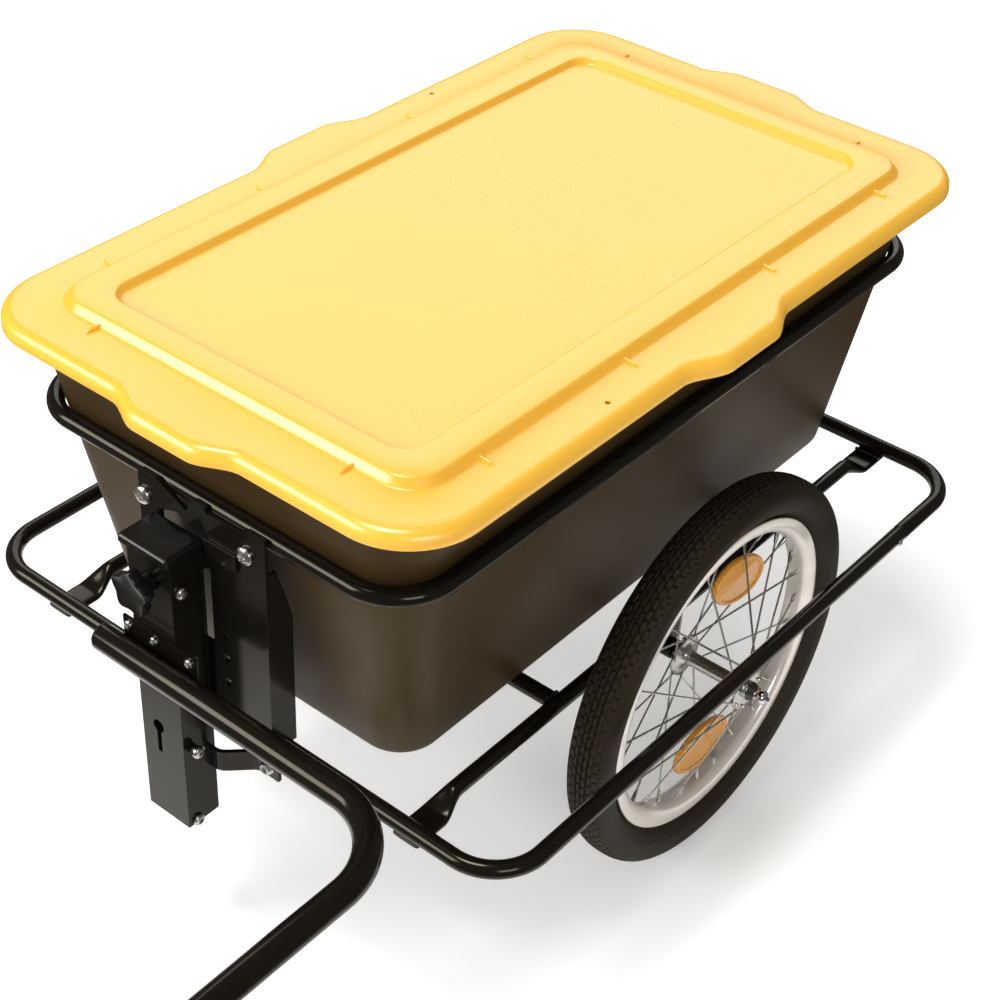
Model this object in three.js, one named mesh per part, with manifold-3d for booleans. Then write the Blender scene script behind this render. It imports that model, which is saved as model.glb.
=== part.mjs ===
// Two-wheeled shopping trailer for a bicycle: tube frame, lidded tub, hitch post and drawbar.
// Millimetres, +Z up from the ground, -Y ahead, +X to the trailer's left.

import * as THREE from 'three';
import { mergeVertices } from 'three/addons/utils/BufferGeometryUtils.js';
import Module from 'manifold-3d';

const wasm = await Module();
wasm.setup();

const LEFT = new THREE.Vector3(1, 0, 0);
const RIGHT = new THREE.Vector3(-1, 0, 0);
const AHEAD = new THREE.Vector3(0, -1, 0);
const BACK = new THREE.Vector3(0, 1, 0);
const UP = new THREE.Vector3(0, 0, 1);

// Fits and cuts
const gap = 0.3;
const overrun = 6;
const shaftPlay = 0.4;

// Wheels
const tyreRadius = 196;
const tyreWidth = 43;
const tyreWall = 3.6;
const tyreHeight = 37;
const wellDepth = 9;
const rimFloor = 8;
const rimWidth = 26;
const rimLip = 2.4;
const rimBaseWidth = 16;
const wheelPlaceShare = 0.509;
const wheelSegments = 40;

// Hubs and spokes
const hubBarrelWall = 1.6;
const hubFlangeRadius = 21;
const hubFlangeThickness = 3;
const hubFromRail = 17.5;
const hubFromSide = 3.7;
const spokeCount = 28;
const spokeDiameter = 2;
const spokeHoleInset = 2.5;
const spokeLean = 50;
const spokeStagger = 1;
const spokeRimStagger = 1.4;
const coneRadius = 9.5;
const coneNoseRadius = 7;
const coneLength = 6;
const valveRadius = 4;
const valveLength = 36;
const valveFoot = 2;
const valveFootRadius = 6;
const valveAfterSpoke = 15;

// Reflectors
const reflectorInset = 47;
const reflectorLength = 84;
const reflectorHeight = 48;
const reflectorThickness = 7.6;
const reflectorShift = 1;
const reflectorUpperAngle = 73;
const reflectorLowerAngle = 269;

// Quick-release axles and their sockets
const axleRadius = 5;
const axleHeadRadius = 7;
const axleHeadLength = 9.5;
const axleNoseLength = 2.5;
const buttonRadius = 3;
const buttonLength = 15;
const buttonProud = 3;
const socketLength = 30;
const socketRadius = 10;
const socketWebThickness = 5;
const socketWebWidth = 38;

// Lower frame
const axleDrop = 40.3;
const frameTube = 16;
const frameWall = 1.7;
const frameHalfWidth = 312.7;
const frameHalfLength = 361.8;
const frameCorner = 50;
const frameJoint = 248;
const bayWidth = 99.2;
const railTube = 15;
const railEndWidth = 28;
const railEndThickness = 6;
const railEndLength = 34;
const railTaper = 30;
const crossTube = 16;
const crossPlace = 166;
const rivetRadius = 2;
const rivetHeadRadius = 4.2;
const rivetHeadHeight = 2.2;
const rivetDepth = 6;
const rivetSetback = 12;

// Upper loop
const loopTube = 16;
const loopInset = 0.5;
const loopOverhang = 13.7;
const loopCorner = 54;
const loopRise = 229.5;
const boxShift = 6;

// Tub
const tubWall = 3;
const tubSideTaper = 30;
const tubEndTaper = 37.5;
const tubBottomCorner = 40;
const tubBottomFillet = 12;
const tubNeckHeight = 70.5;
const tubPlay = 0.35;
const tubCornerPlay = 1.5;
const lipPlay = 0.6;
const tubLipThickness = 3;
const tubLipRise = 12.7;

// Lid
const lidSideOverhang = 35.3;
const lidEndOverhang = 26.5;
const lidCorner = 68;
const lidWall = 3;
const lidSkirt = 15.4;
const lidEdgeRound = 7;
const lidEndLobe = 15.5;
const lidSideLobe = 17;
const lidEndLobeHalf = 72;
const lidSideLobeHalf = 78;
const ridgeSideInset = 42.3;
const ridgeEndInset = 47.5;
const ridgeCorner = 38;
const ridgeHeight = 8;
const ridgeSlope = 9;
const panelSideInset = 36.5;
const panelEndInset = 31.5;
const panelCorner = 24;
const panelDepth = 6;
const panelSlope = 7;
const lidHoleRadius = 2.5;
const lidHoleInset = 19.3;
const lidHoleAhead = 156;
const ribLength = 22;
const ribWidth = 3;
const ribHeight = 4;
const ribSideShares = [-0.79, -0.28, 0.29, 0.81];
const ribEndShares = [-0.68, 0.68];

// Front bracket
const bracketThickness = 4;
const bracketLeft = -64;
const bracketRight = 80;
const bracketTopHeight = 6.5;
const doublerThickness = 3;
const doublerLap = 4;
const doublerHeightShare = 0.36;
const flangeThickness = 3;
const flangeDepth = 24;
const bracketBarLength = 36;
const bracketBarHeight = 16;
const bracketBarThickness = 3;
const bracketBarDrop = 31.5;
const bracketScrewEdge = 5.5;
const bracketScrewInset = 21.5;
const bracketScrewDrop = 18;
const bracketScrewRadius = 4;
const bracketScrewHead = 8.5;
const bracketScrewHeadHeight = 5;
const bracketNutRadius = 7.5;
const bracketNutHeight = 6;
const slotWidth = 4.5;
const slotHeight = 8;
const slotPlace = 30;
const slotRises = [60, 86, 110];
const rearBracketHalfWidth = 40;

// Post
const postWidth = 50;
const postDepth = 35;
const postWall = 2.5;
const postLeft = -42;
const postBottom = -102;
const postTopDrop = 34.5;
const keyholeRadius = 6.5;
const keyholeWidth = 5;
const keyholeLength = 30;
const keyholeRise = 2;
const keyholePlace = -22;
const capWidth = 57;
const capDepth = 41;
const capHeight = 8;
const capBevel = 2;
const postScrewRadius = 3;
const postScrewHead = 6;
const postScrewHeadHeight = 4.5;
const postScrewTopDrop = 34;
const postScrewMiddleRise = -12;
const postScrewEnd = 4;
const postScrewNames = ['top', 'middle', 'bottom'];
const standoffLength = 6;
const standoffRadius = 4.5;
const postScrewLength = 12;
const postScrewFromFront = 10;

// Star knob
const knobDrop = 30;
const knobRadius = 21.5;
const knobWaistShare = 0.78;
const knobThickness = 12;
const knobBossRadius = 9;
const knobBossLength = 11;
const knobLobes = 5;
const studRadius = 4;
const studReach = 22;
const knobTurn = 0.3;

// Stay
const stayHeight = 22;
const stayThickness = 4;
const stayRise = -36;
const stayBend = 14;
const stayStraight = 9.4;
const stayFootLength = 24;
const stayBoltRadius = 4;
const stayBoltHead = 7.5;
const stayBoltHeadHeight = 5;

// Saddle and drawbar
const drawbarTube = 24;
const drawbarWall = 2;
const drawbarRise = 88;
const drawbarEnd = -65;
const drawbarInset = 36.7;
const drawbarBend = 72;
const drawbarStraight = 700;
const drawbarTip = 110;
const drawbarSweep = 160;
const drawbarTipRun = 125;
const saddleThickness = 2.7;
const saddleLeft = -52;
const saddleRight = 36;
const saddleHeight = 24;
const saddleLip = 11;
const saddleScrewRadius = 2.5;
const saddleScrewHead = 4.5;
const saddleScrewHeadHeight = 3;
const saddleScrewHeight = 16.5;
const saddleScrewPlaces = [-45, -14, 27];
const saddleScrewLength = 8;
const plugHead = 3;
const plugLength = 14;
const plugEdgeShare = 0.85;
const plugPlay = 0.9;

// Coupling
const couplingSocketLength = 46;
const couplingSocketRadius = 15.5;
const couplingSocketDepth = 34;
const forkWidth = 28;
const forkHeight = 34;
const forkLength = 44;
const forkMouth = 16;
const forkPinRadius = 5;
const forkPinSetback = 20;
const pinHeadRadius = 9;
const pinHeadHeight = 5;
const pinTail = 8;

const axleHeight = tyreRadius;
const rimEdgeRadius = tyreRadius - tyreHeight;
const wellRadius = rimEdgeRadius - wellDepth;
const rimInnerRadius = wellRadius - rimFloor;
const hubBarrelRadius = axleRadius + shaftPlay + hubBarrelWall;
const spokeCircleRadius = hubFlangeRadius - spokeHoleInset;
const reflectorRadius = rimInnerRadius - reflectorInset;
const buttonWell = buttonLength + buttonProud;
const frameBore = frameTube - frameWall * 2;
const crossBore = crossTube - frameWall * 2;
const drawbarBore = drawbarTube - drawbarWall * 2;
const drawbarReach = drawbarStraight + drawbarSweep + drawbarTipRun;
const saddleTop = drawbarRise + saddleHeight;
const saddleScrewRise = drawbarRise + saddleScrewHeight;
const tubNeckRise = loopRise + tubNeckHeight;
const bracketTop = loopRise + bracketTopHeight;
const bracketBarRise = loopRise - bracketBarDrop;
const bracketScrewRise = loopRise - bracketScrewDrop;
const bracketScrewPlaces = [bracketLeft + bracketScrewEdge, bracketRight - bracketScrewInset];
const postTop = loopRise - postTopDrop;
const postScrewRises = [postTop - postScrewTopDrop, postScrewMiddleRise, postBottom + postScrewEnd];
const knobRise = postTop - knobDrop;
const frameHeight = axleHeight + axleDrop;
const loopHeight = frameHeight + loopRise;
const frontTube = -frameHalfLength;
const railPlace = frameHalfWidth - bayWidth;
const wheelPlane = railPlace + bayWidth * wheelPlaceShare;
const hubInner = railPlace + hubFromRail;
const hubOuter = frameHalfWidth - hubFromSide;
const reflectorPlane = wheelPlane + reflectorShift;
const loopHalfWidth = railPlace - loopInset;
const loopHalfLength = frameHalfLength + loopOverhang;
const loopFront = boxShift - loopHalfLength;
const loopRear = boxShift + loopHalfLength;
const bracketBack = loopFront - loopTube / 2 - gap;
const bracketFront = bracketBack - bracketThickness;
const postBack = bracketFront - gap;
const postFront = postBack - postDepth;
const postRight = postLeft + postWidth;
const postMiddle = postLeft + postWidth / 2;
const stayLine = postBack - stayThickness;
const stayEndPlace = postRight + gap + stayStraight + frontTube - stayLine + stayFootLength / 2;
const saddleBack = postFront - gap;
const saddleFront = saddleBack - saddleThickness;
const drawbarLine = saddleFront - gap - drawbarTube / 2;
const drawbarHeight = frameHeight + drawbarRise;
const drawbarSide = frameHalfWidth - drawbarInset;
const tubFloor = crossTube / 2 + gap;
const loopShare = (loopRise - tubFloor) / (tubNeckRise - tubFloor);
const tubSeat = loopTube / 2 + tubPlay;
const tubBottomHalfWidth = loopHalfWidth - tubSeat - tubSideTaper;
const tubBottomHalfLength = loopHalfLength - tubSeat - tubEndTaper;
const tubTopHalfWidth = tubBottomHalfWidth + tubSideTaper / loopShare;
const tubTopHalfLength = tubBottomHalfLength + tubEndTaper / loopShare;
const tubTopCorner = tubBottomCorner + (loopCorner - tubSeat + tubCornerPlay - tubBottomCorner) / loopShare;
const lidHalfWidth = loopHalfWidth + lidSideOverhang;
const lidHalfLength = loopHalfLength + lidEndOverhang;
const lidHoleSide = lidHalfWidth - lidHoleInset;
const ridgeHalfWidth = lidHalfWidth - ridgeSideInset;
const ridgeHalfLength = lidHalfLength - ridgeEndInset;
const panelHalfWidth = ridgeHalfWidth - panelSideInset;
const panelHalfLength = ridgeHalfLength - panelEndInset;
const socketEnd = hubInner - gap * 2 - coneLength;
const axleHeadStart = hubOuter + gap * 2 + coneLength;
const forkEnd = -drawbarReach + couplingSocketDepth - couplingSocketLength + overrun - forkLength;
const lidBottom = frameHeight + tubNeckRise + tubLipRise + tubLipThickness + gap + lidWall - lidSkirt;

// Materials
function paint(color, roughness, metalness) {
  return new THREE.MeshStandardMaterial({ color, roughness, metalness });
}

const blackGloss = paint(0x111010, 0.25, 0.1);
const tubPlastic = paint(0x2a2622, 0.5, 0);
const lidPlastic = paint(0xf6cf62, 0.4, 0);
const zinc = paint(0xc9c9c6, 0.3, 0.9);
const chrome = paint(0xd8d8da, 0.12, 1);
const darkSteel = paint(0x3a3a3a, 0.4, 0.7);
const aluminium = paint(0xc4c6c8, 0.25, 0.95);
const tyreRubber = paint(0x1c1b1a, 0.85, 0);
const softBlack = paint(0x151413, 0.6, 0);
const amber = paint(0xe08a1e, 0.2, 0);

// Solids
function toSolid(geometry) {
  const bare = geometry.clone();
  bare.deleteAttribute('normal');
  bare.deleteAttribute('uv');
  const merged = mergeVertices(bare);
  return new wasm.Manifold(new wasm.Mesh({
    numProp: 3,
    vertProperties: new Float32Array(merged.attributes.position.array),
    triVerts: new Uint32Array(merged.index.array),
  }));
}

function toGeometry(solid) {
  const mesh = solid.getMesh();
  const geometry = new THREE.BufferGeometry();
  geometry.setAttribute('position', new THREE.BufferAttribute(new Float32Array(mesh.vertProperties), 3));
  geometry.setIndex(new THREE.BufferAttribute(new Uint32Array(mesh.triVerts), 1));
  geometry.computeVertexNormals();
  return geometry;
}

function joined(first, ...others) {
  return others.reduce((solid, other) => solid.add(toSolid(other)), toSolid(first));
}

function cut(solid, ...tools) {
  return tools.reduce((rest, tool) => rest.subtract(toSolid(tool)), solid);
}

function piece(name, geometry, material) {
  const mesh = new THREE.Mesh(geometry, material);
  mesh.name = name;
  return mesh;
}

// Rings of equal count, stitched side by side; open ends are closed by a fan
function skin(rings, closed = false) {
  const count = rings[0].length;
  const points = rings.flat();
  const faces = [];
  const last = rings.length - 1;
  const spans = closed ? rings.length : last;
  for (let r = 0; r < spans; r += 1) {
    const low = r * count;
    const high = ((r + 1) % rings.length) * count;
    for (let k = 0; k < count; k += 1) {
      const next = (k + 1) % count;
      faces.push(low + k, low + next, high + next, low + k, high + next, high + k);
    }
  }
  if (!closed) {
    for (const [ring, forward] of [[0, false], [last, true]]) {
      const centre = rings[ring].reduce((sum, p) => sum.add(p), new THREE.Vector3())
        .multiplyScalar(1 / count);
      const middle = points.push(centre) - 1;
      for (let k = 0; k < count; k += 1) {
        const a = ring * count + k;
        const b = ring * count + ((k + 1) % count);
        faces.push(...(forward ? [a, b, middle] : [b, a, middle]));
      }
    }
  }
  const geometry = new THREE.BufferGeometry();
  geometry.setAttribute('position', new THREE.Float32BufferAttribute(points.flatMap((p) => p.toArray()), 3));
  geometry.setIndex(faces);
  geometry.computeVertexNormals();
  return geometry;
}

// A level path with rounded corners; each stop keeps its place and heading
function levelPath(corners, radius, steps, closed = false) {
  const stops = [];
  const total = corners.length;
  corners.forEach(([x, y], i) => {
    const here = new THREE.Vector2(x, y);
    if (!closed && (i === 0 || i === total - 1)) {
      const other = new THREE.Vector2(...corners[i === 0 ? 1 : total - 2]);
      const heading = i === 0 ? other.sub(here) : here.clone().sub(other);
      stops.push({ place: here, heading: heading.normalize() });
      return;
    }
    const before = new THREE.Vector2(...corners[(i + total - 1) % total]);
    const after = new THREE.Vector2(...corners[(i + 1) % total]);
    const into = here.clone().sub(before).normalize();
    const out = after.sub(here).normalize();
    const turn = Math.atan2(into.x * out.y - into.y * out.x, into.dot(out));
    const side = Math.sign(turn);
    const reach = radius * Math.tan(Math.abs(turn) / 2);
    const centre = here.clone().addScaledVector(into, -reach);
    centre.add(new THREE.Vector2(-into.y, into.x).multiplyScalar(side * radius));
    for (let k = 0; k <= steps; k += 1) {
      const heading = into.clone().rotateAround(new THREE.Vector2(), turn * k / steps);
      const place = new THREE.Vector2(heading.y, -heading.x).multiplyScalar(side * radius).add(centre);
      stops.push({ place, heading });
    }
  });
  return stops;
}

function levelTube(stops, height, diameter, sides, closed = false) {
  const rings = stops.map(({ place, heading }) => {
    const ring = [];
    for (let k = 0; k < sides; k += 1) {
      const angle = -2 * Math.PI * (k + 0.5) / sides;
      const out = diameter / 2 * Math.cos(angle);
      const up = diameter / 2 * Math.sin(angle);
      ring.push(new THREE.Vector3(place.x + heading.y * out, place.y - heading.x * out, height + up));
    }
    return ring;
  });
  return skin(rings, closed);
}

// The bore starts and ends past the tube's ends
function levelPipe(stops, height, diameter, bore, sides) {
  const first = stops[0];
  const last = stops[stops.length - 1];
  const longer = [
    { place: first.place.clone().addScaledVector(first.heading, -overrun), heading: first.heading },
    ...stops.slice(1, -1),
    { place: last.place.clone().addScaledVector(last.heading, overrun), heading: last.heading },
  ];
  const outside = levelTube(stops, height, diameter, sides);
  return toGeometry(cut(toSolid(outside), levelTube(longer, height, bore, sides * 2 / 3)));
}

// A straight rod or cone from a start point along a direction
function rodAlong(direction, radius, [x, y, z], length, sides, endRadius = radius) {
  const turn = new THREE.Quaternion().setFromUnitVectors(BACK, direction);
  return new THREE.CylinderGeometry(endRadius, radius, length, sides)
    .translate(0, length / 2, 0)
    .applyQuaternion(turn)
    .translate(x, y, z);
}

function block(x0, x1, y0, y1, z0, z1) {
  return new THREE.BoxGeometry(x1 - x0, y1 - y0, z1 - z0)
    .translate((x0 + x1) / 2, (y0 + y1) / 2, (z0 + z1) / 2);
}

// A plate with its outline in Y and Z, from a place along X
function sidePlate(points, start, thickness) {
  const shape = new THREE.Shape(points.map(([y, z]) => new THREE.Vector2(y, z)));
  return new THREE.ExtrudeGeometry(shape, { depth: thickness, bevelEnabled: false })
    .applyMatrix4(new THREE.Matrix4().makeBasis(BACK, UP, LEFT))
    .translate(start, 0, 0);
}

// A profile of [radius, place along X] turned about the X axis
function turned(profile, segments) {
  const rings = [];
  for (let s = 0; s < segments; s += 1) {
    const angle = 2 * Math.PI * s / segments;
    rings.push(profile.map(([radius, x]) => new THREE.Vector3(
      x,
      radius * Math.cos(angle),
      radius * Math.sin(angle),
    )));
  }
  return skin(rings, true);
}

// A group built for the left side; half a turn about Z makes the right one
function sideGroup(side, height, ...pieces) {
  const group = new THREE.Group();
  group.add(...pieces);
  group.position.z = height;
  if (side < 0) {
    group.rotation.z = Math.PI;
  }
  return group;
}

// Lower frame
function lowerLoopHalf(name, ahead) {
  const end = ahead ? -frameHalfLength : frameHalfLength;
  const joint = ahead ? frameJoint - gap / 2 : frameJoint + gap / 2;
  const corners = [
    [frameHalfWidth, joint],
    [frameHalfWidth, end],
    [-frameHalfWidth, end],
    [-frameHalfWidth, joint],
  ];
  const tube = levelPipe(levelPath(corners, frameCorner, 5), frameHeight, frameTube, frameBore, 12);
  if (!ahead) {
    return piece(name, tube, blackGloss);
  }
  const face = frameHalfWidth + frameTube / 2;
  const holes = [1, -1].map((side) => rodAlong(
    new THREE.Vector3(side, 0, 0),
    rivetRadius + gap,
    [side * (face - rivetDepth - gap), rivetPlace(), frameHeight],
    rivetDepth + overrun,
    8,
  ));
  return piece(name, toGeometry(cut(toSolid(tube), ...holes)), blackGloss);
}

function rivetPlace() {
  return frameJoint - rivetSetback;
}

function rivet(name, side) {
  const face = frameHalfWidth + frameTube / 2;
  const outward = new THREE.Vector3(side, 0, 0);
  const place = (x) => [side * x, rivetPlace(), frameHeight];
  const shank = rodAlong(outward, rivetRadius, place(face - rivetDepth), rivetDepth + gap * 2, 8);
  const head = rodAlong(outward, rivetHeadRadius, place(face + gap), rivetHeadHeight, 12, rivetHeadRadius / 2);
  return piece(name, toGeometry(joined(shank, head)), zinc);
}

// A rail is round along its middle and flattened at both ends, which lie under the loop
function rail(name, side) {
  const end = frameHalfLength + frameTube / 4;
  const drop = frameTube / 2 + gap + railEndThickness / 2;
  const flat = [railEndWidth / 2, railEndThickness / 2, -drop];
  const round = [railTube / 2, railTube / 2, 0];
  const stations = [
    [-end, flat],
    [railEndLength - end, flat],
    [railEndLength + railTaper - end, round],
    [end - railEndLength - railTaper, round],
    [end - railEndLength, flat],
    [end, flat],
  ];
  const sides = 12;
  const rings = stations.map(([y, [halfWidth, halfHeight, rise]]) => {
    const ring = [];
    const power = halfHeight < halfWidth ? 0.5 : 1;
    for (let k = 0; k < sides; k += 1) {
      const angle = 2 * Math.PI * (k + 0.5) / sides;
      const c = Math.cos(angle);
      const s = Math.sin(angle);
      ring.push(new THREE.Vector3(
        side * railPlace - halfWidth * Math.sign(c) * Math.abs(c) ** power,
        y,
        frameHeight + rise + halfHeight * Math.sign(s) * Math.abs(s) ** power,
      ));
    }
    return ring;
  });
  return piece(name, skin(rings), blackGloss);
}

function crossMember(name, y) {
  const half = railPlace - railTube / 2 - gap;
  const tube = rodAlong(LEFT, crossTube / 2, [-half, y, frameHeight], half * 2, 12);
  const bore = rodAlong(
    LEFT,
    crossBore / 2,
    [-half - overrun, y, frameHeight],
    (half + overrun) * 2,
    8,
  );
  return piece(name, toGeometry(cut(toSolid(tube), bore)), blackGloss);
}

function upperLoop() {
  const corners = [
    [loopHalfWidth, loopFront],
    [-loopHalfWidth, loopFront],
    [-loopHalfWidth, loopRear],
    [loopHalfWidth, loopRear],
  ];
  const stops = levelPath(corners, loopCorner, 6, true);
  return piece('rim_loop', levelTube(stops, loopHeight, loopTube, 12, true), blackGloss);
}

// A rounded rectangle as one ring, with a bulge in the middle of each side where it has lobes
function outline(halfWidth, halfLength, corner, z, lobeShares = [], endLobe = 0, sideLobe = 0) {
  const rampShare = 0.6;
  const swell = (share) => {
    const t = Math.min(1, (1 - Math.abs(share)) / rampShare);
    return t * t * (3 - 2 * t);
  };
  const ring = [];
  const steps = 5;
  for (let side = 0; side < 4; side += 1) {
    const along = side % 2 === 0;
    const half = along ? halfLength : halfWidth;
    const across = along ? halfWidth : halfLength;
    const lobeHalf = along ? lidSideLobeHalf : lidEndLobeHalf;
    const lobe = along ? sideLobe : endLobe;
    const turn = side * Math.PI / 2;
    const place = (u, v) => new THREE.Vector3(
      Math.cos(turn) * u - Math.sin(turn) * v,
      Math.sin(turn) * u + Math.cos(turn) * v + boxShift,
      z,
    );
    for (const share of lobeShares) {
      ring.push(place(across + lobe * swell(share), lobeHalf * share));
    }
    for (let k = 0; k <= steps; k += 1) {
      const angle = Math.PI / 2 * k / steps;
      ring.push(place(
        across - corner + corner * Math.cos(angle),
        half - corner + corner * Math.sin(angle),
      ));
    }
  }
  return ring;
}

// How far the tub's wall has opened out at a rise above its floor, from 0 to 1
function tubShare(rise) {
  return (rise - tubFloor) / (tubNeckRise - tubFloor);
}

function tubHalfLength(rise) {
  return tubBottomHalfLength + (tubTopHalfLength - tubBottomHalfLength) * tubShare(rise);
}

function tubOutline(rise, inset, z) {
  const share = tubShare(rise);
  return outline(
    tubBottomHalfWidth + (tubTopHalfWidth - tubBottomHalfWidth) * share - inset,
    tubHalfLength(rise) - inset,
    tubBottomCorner + (tubTopCorner - tubBottomCorner) * share - inset,
    frameHeight + z,
  );
}

function tub() {
  const neck = tubNeckRise;
  const lip = neck + tubLipRise;
  const lipTop = lip + tubLipThickness;
  const round = tubBottomFillet;
  const flat = (grow, rise) => outline(
    tubTopHalfWidth + grow,
    tubTopHalfLength + grow,
    tubTopCorner + grow,
    frameHeight + rise,
  );
  const brim = (rise) => outline(
    lidHalfWidth - lidWall - lipPlay,
    lidHalfLength - lidWall - lipPlay,
    lidCorner - lidWall - lipPlay,
    frameHeight + rise,
  );
  const rings = [
    tubOutline(tubFloor, round, tubFloor),
    tubOutline(tubFloor, round / 4, tubFloor + round / 4),
    tubOutline(tubFloor + round, 0, tubFloor + round),
    tubOutline(neck, 0, neck),
    flat(tubWall / 2, lip),
    brim(lip),
    brim(lipTop),
    flat(-tubWall / 2, lipTop),
    tubOutline(neck, tubWall, neck),
    tubOutline(tubFloor + round, tubWall, tubFloor + round),
    tubOutline(tubFloor, tubWall + round / 4, tubFloor + tubWall + round / 4),
    tubOutline(tubFloor, tubWall + round, tubFloor + tubWall),
  ];
  const holes = bracketScrewPlaces.map((x) => rodAlong(
    BACK,
    bracketScrewRadius + gap,
    [x, loopFront, frameHeight + bracketScrewRise],
    loopTube * 2,
    12,
  ));
  return piece('tub', toGeometry(cut(toSolid(skin(rings)), ...holes)), tubPlastic);
}

// Lid
const lobeShares = [-1, -0.8, -0.6, -0.4, 0, 0.4, 0.6, 0.8, 1];

function lidRibs(top) {
  const low = top - lidWall / 2;
  const high = top + ribHeight;
  const ribs = [];
  for (const side of [-1, 1]) {
    for (const share of ribSideShares) {
      const x = side * ridgeHalfWidth;
      const y = boxShift + share * ridgeHalfLength;
      ribs.push(block(x - ribLength / 2, x + ribLength / 2, y - ribWidth / 2, y + ribWidth / 2, low, high));
    }
    for (const share of ribEndShares) {
      const x = share * ridgeHalfWidth;
      const y = boxShift + side * ridgeHalfLength;
      ribs.push(block(x - ribWidth / 2, x + ribWidth / 2, y - ribLength / 2, y + ribLength / 2, low, high));
    }
  }
  return ribs;
}

function lid() {
  const bottom = lidBottom;
  const top = bottom + lidSkirt;
  const ridgeTop = top + ridgeHeight;
  const panelTop = ridgeTop - panelDepth;
  const round = lidEdgeRound;
  const half = lidWall / 2;
  const edge = (inset, z) => outline(
    lidHalfWidth - inset,
    lidHalfLength - inset,
    lidCorner - inset,
    z,
    lobeShares,
    lidEndLobe,
    lidSideLobe,
  );
  const ridge = (inset, z) => outline(
    ridgeHalfWidth - inset,
    ridgeHalfLength - inset,
    ridgeCorner - inset,
    z,
    lobeShares,
  );
  const panel = (inset, z) => outline(
    panelHalfWidth - inset,
    panelHalfLength - inset,
    panelCorner - inset,
    z,
    lobeShares,
  );
  const rings = [
    panel(panelSlope - half, panelTop - lidWall),
    panel(-half, ridgeTop - lidWall),
    ridge(ridgeSlope + half, ridgeTop - lidWall),
    ridge(half, top - lidWall),
    edge(lidWall, top - lidWall),
    edge(lidWall, bottom),
    edge(0, bottom),
    edge(0, top - round),
    edge(round / 4, top - round / 4),
    edge(round, top),
    ridge(0, top),
    ridge(ridgeSlope, ridgeTop),
    panel(0, ridgeTop),
    panel(panelSlope, panelTop),
  ];
  const holes = [-1, 1].map((side) => rodAlong(
    UP,
    lidHoleRadius,
    [side * lidHoleSide, -side * lidHoleAhead + boxShift, bottom],
    lidSkirt + overrun,
    12,
  ));
  const shell = joined(skin(rings), ...lidRibs(top));
  return piece('lid', toGeometry(cut(shell, ...holes)), lidPlastic);
}

// Front bracket: a folded plate, drawn in shares of its width and height
function hitchBracket() {
  const low = frameHeight + frameTube / 2 + gap;
  const high = frameHeight + bracketTop;
  const spot = ([widthShare, heightShare]) => new THREE.Vector2(
    bracketLeft + (bracketRight - bracketLeft) * widthShare,
    low + (high - low) * heightShare,
  );
  const gapShares = [0.472, 0.556];
  const plateShares = [
    [0, 0], [gapShares[0], 0], [gapShares[0], 0.7], [gapShares[1], 0.73], [gapShares[1], 0], [1, 0],
    [1, 1], [0.84, 1], [0.83, 0.975], [0.545, 0.975], [0.535, 1], [0.4375, 1],
    [0.389, 0.93], [0.153, 1], [0, 1],
  ];
  const windowShares = [
    [0.17, 0.8], [0.17, 0.87], [0.3, 0.9], [0.39, 0.88], [0.5, 0.94], [0.55, 0.88], [0.55, 0.8],
  ];
  const shape = new THREE.Shape(plateShares.map(spot));
  shape.holes.push(new THREE.Path(windowShares.map(spot)));
  const plate = new THREE.ExtrudeGeometry(shape, { depth: bracketThickness, bevelEnabled: false })
    .rotateX(Math.PI / 2)
    .translate(0, bracketBack, 0);
  const flangeTopShare = 0.84;
  const flangeKneeShare = 0.6;
  const flangeBack = bracketBack + flangeDepth;
  const bed = bracketFront + bracketThickness / 2;
  const flangeOutline = [
    [bed, low],
    [flangeBack, low],
    [flangeBack, low + (high - low) * flangeKneeShare],
    [bracketBack + flangeDepth / 3, low + (high - low) * flangeTopShare],
    [bed, low + (high - low) * flangeTopShare],
  ];
  const barEnd = bracketScrewPlaces[1] - bracketScrewHead - gap;
  const barMiddle = frameHeight + bracketBarRise;
  const extras = [
    sidePlate(flangeOutline, bracketLeft, flangeThickness),
    sidePlate(flangeOutline, bracketRight - flangeThickness, flangeThickness),
    block(
      barEnd - bracketBarLength,
      barEnd,
      bracketFront - bracketBarThickness,
      bed,
      barMiddle - bracketBarHeight / 2,
      barMiddle + bracketBarHeight / 2,
    ),
    block(
      spot([gapShares[0], 0]).x - doublerLap,
      spot([gapShares[1], 0]).x + doublerLap,
      bracketBack - bracketThickness / 4,
      bracketBack + doublerThickness,
      low,
      low + (high - low) * doublerHeightShare,
    ),
  ];
  const screwHoles = bracketScrewPlaces.map((x) => rodAlong(
    AHEAD,
    bracketScrewRadius + gap,
    [x, bracketBack + overrun, frameHeight + bracketScrewRise],
    bracketThickness + overrun * 2,
    12,
  ));
  const slots = slotRises.map((rise) => block(
    slotPlace - slotWidth / 2,
    slotPlace + slotWidth / 2,
    bracketFront - overrun,
    bracketBack + overrun,
    frameHeight + rise - slotHeight / 2,
    frameHeight + rise + slotHeight / 2,
  ));
  const solid = cut(joined(plate, ...extras), ...screwHoles, ...slots);
  return piece('hitch_bracket', toGeometry(solid), blackGloss);
}

function rearBracket() {
  const face = loopRear + loopTube / 2 + gap;
  const low = frameHeight + frameTube / 2 + gap;
  const plate = block(
    -rearBracketHalfWidth,
    rearBracketHalfWidth,
    face,
    face + bracketThickness,
    low,
    frameHeight + bracketTop,
  );
  const foot = block(
    -rearBracketHalfWidth,
    rearBracketHalfWidth,
    frameHalfLength - frameTube / 2,
    face + bracketThickness / 2,
    low,
    low + bracketThickness,
  );
  return piece('rear_bracket', toGeometry(joined(plate, foot)), blackGloss);
}

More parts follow.
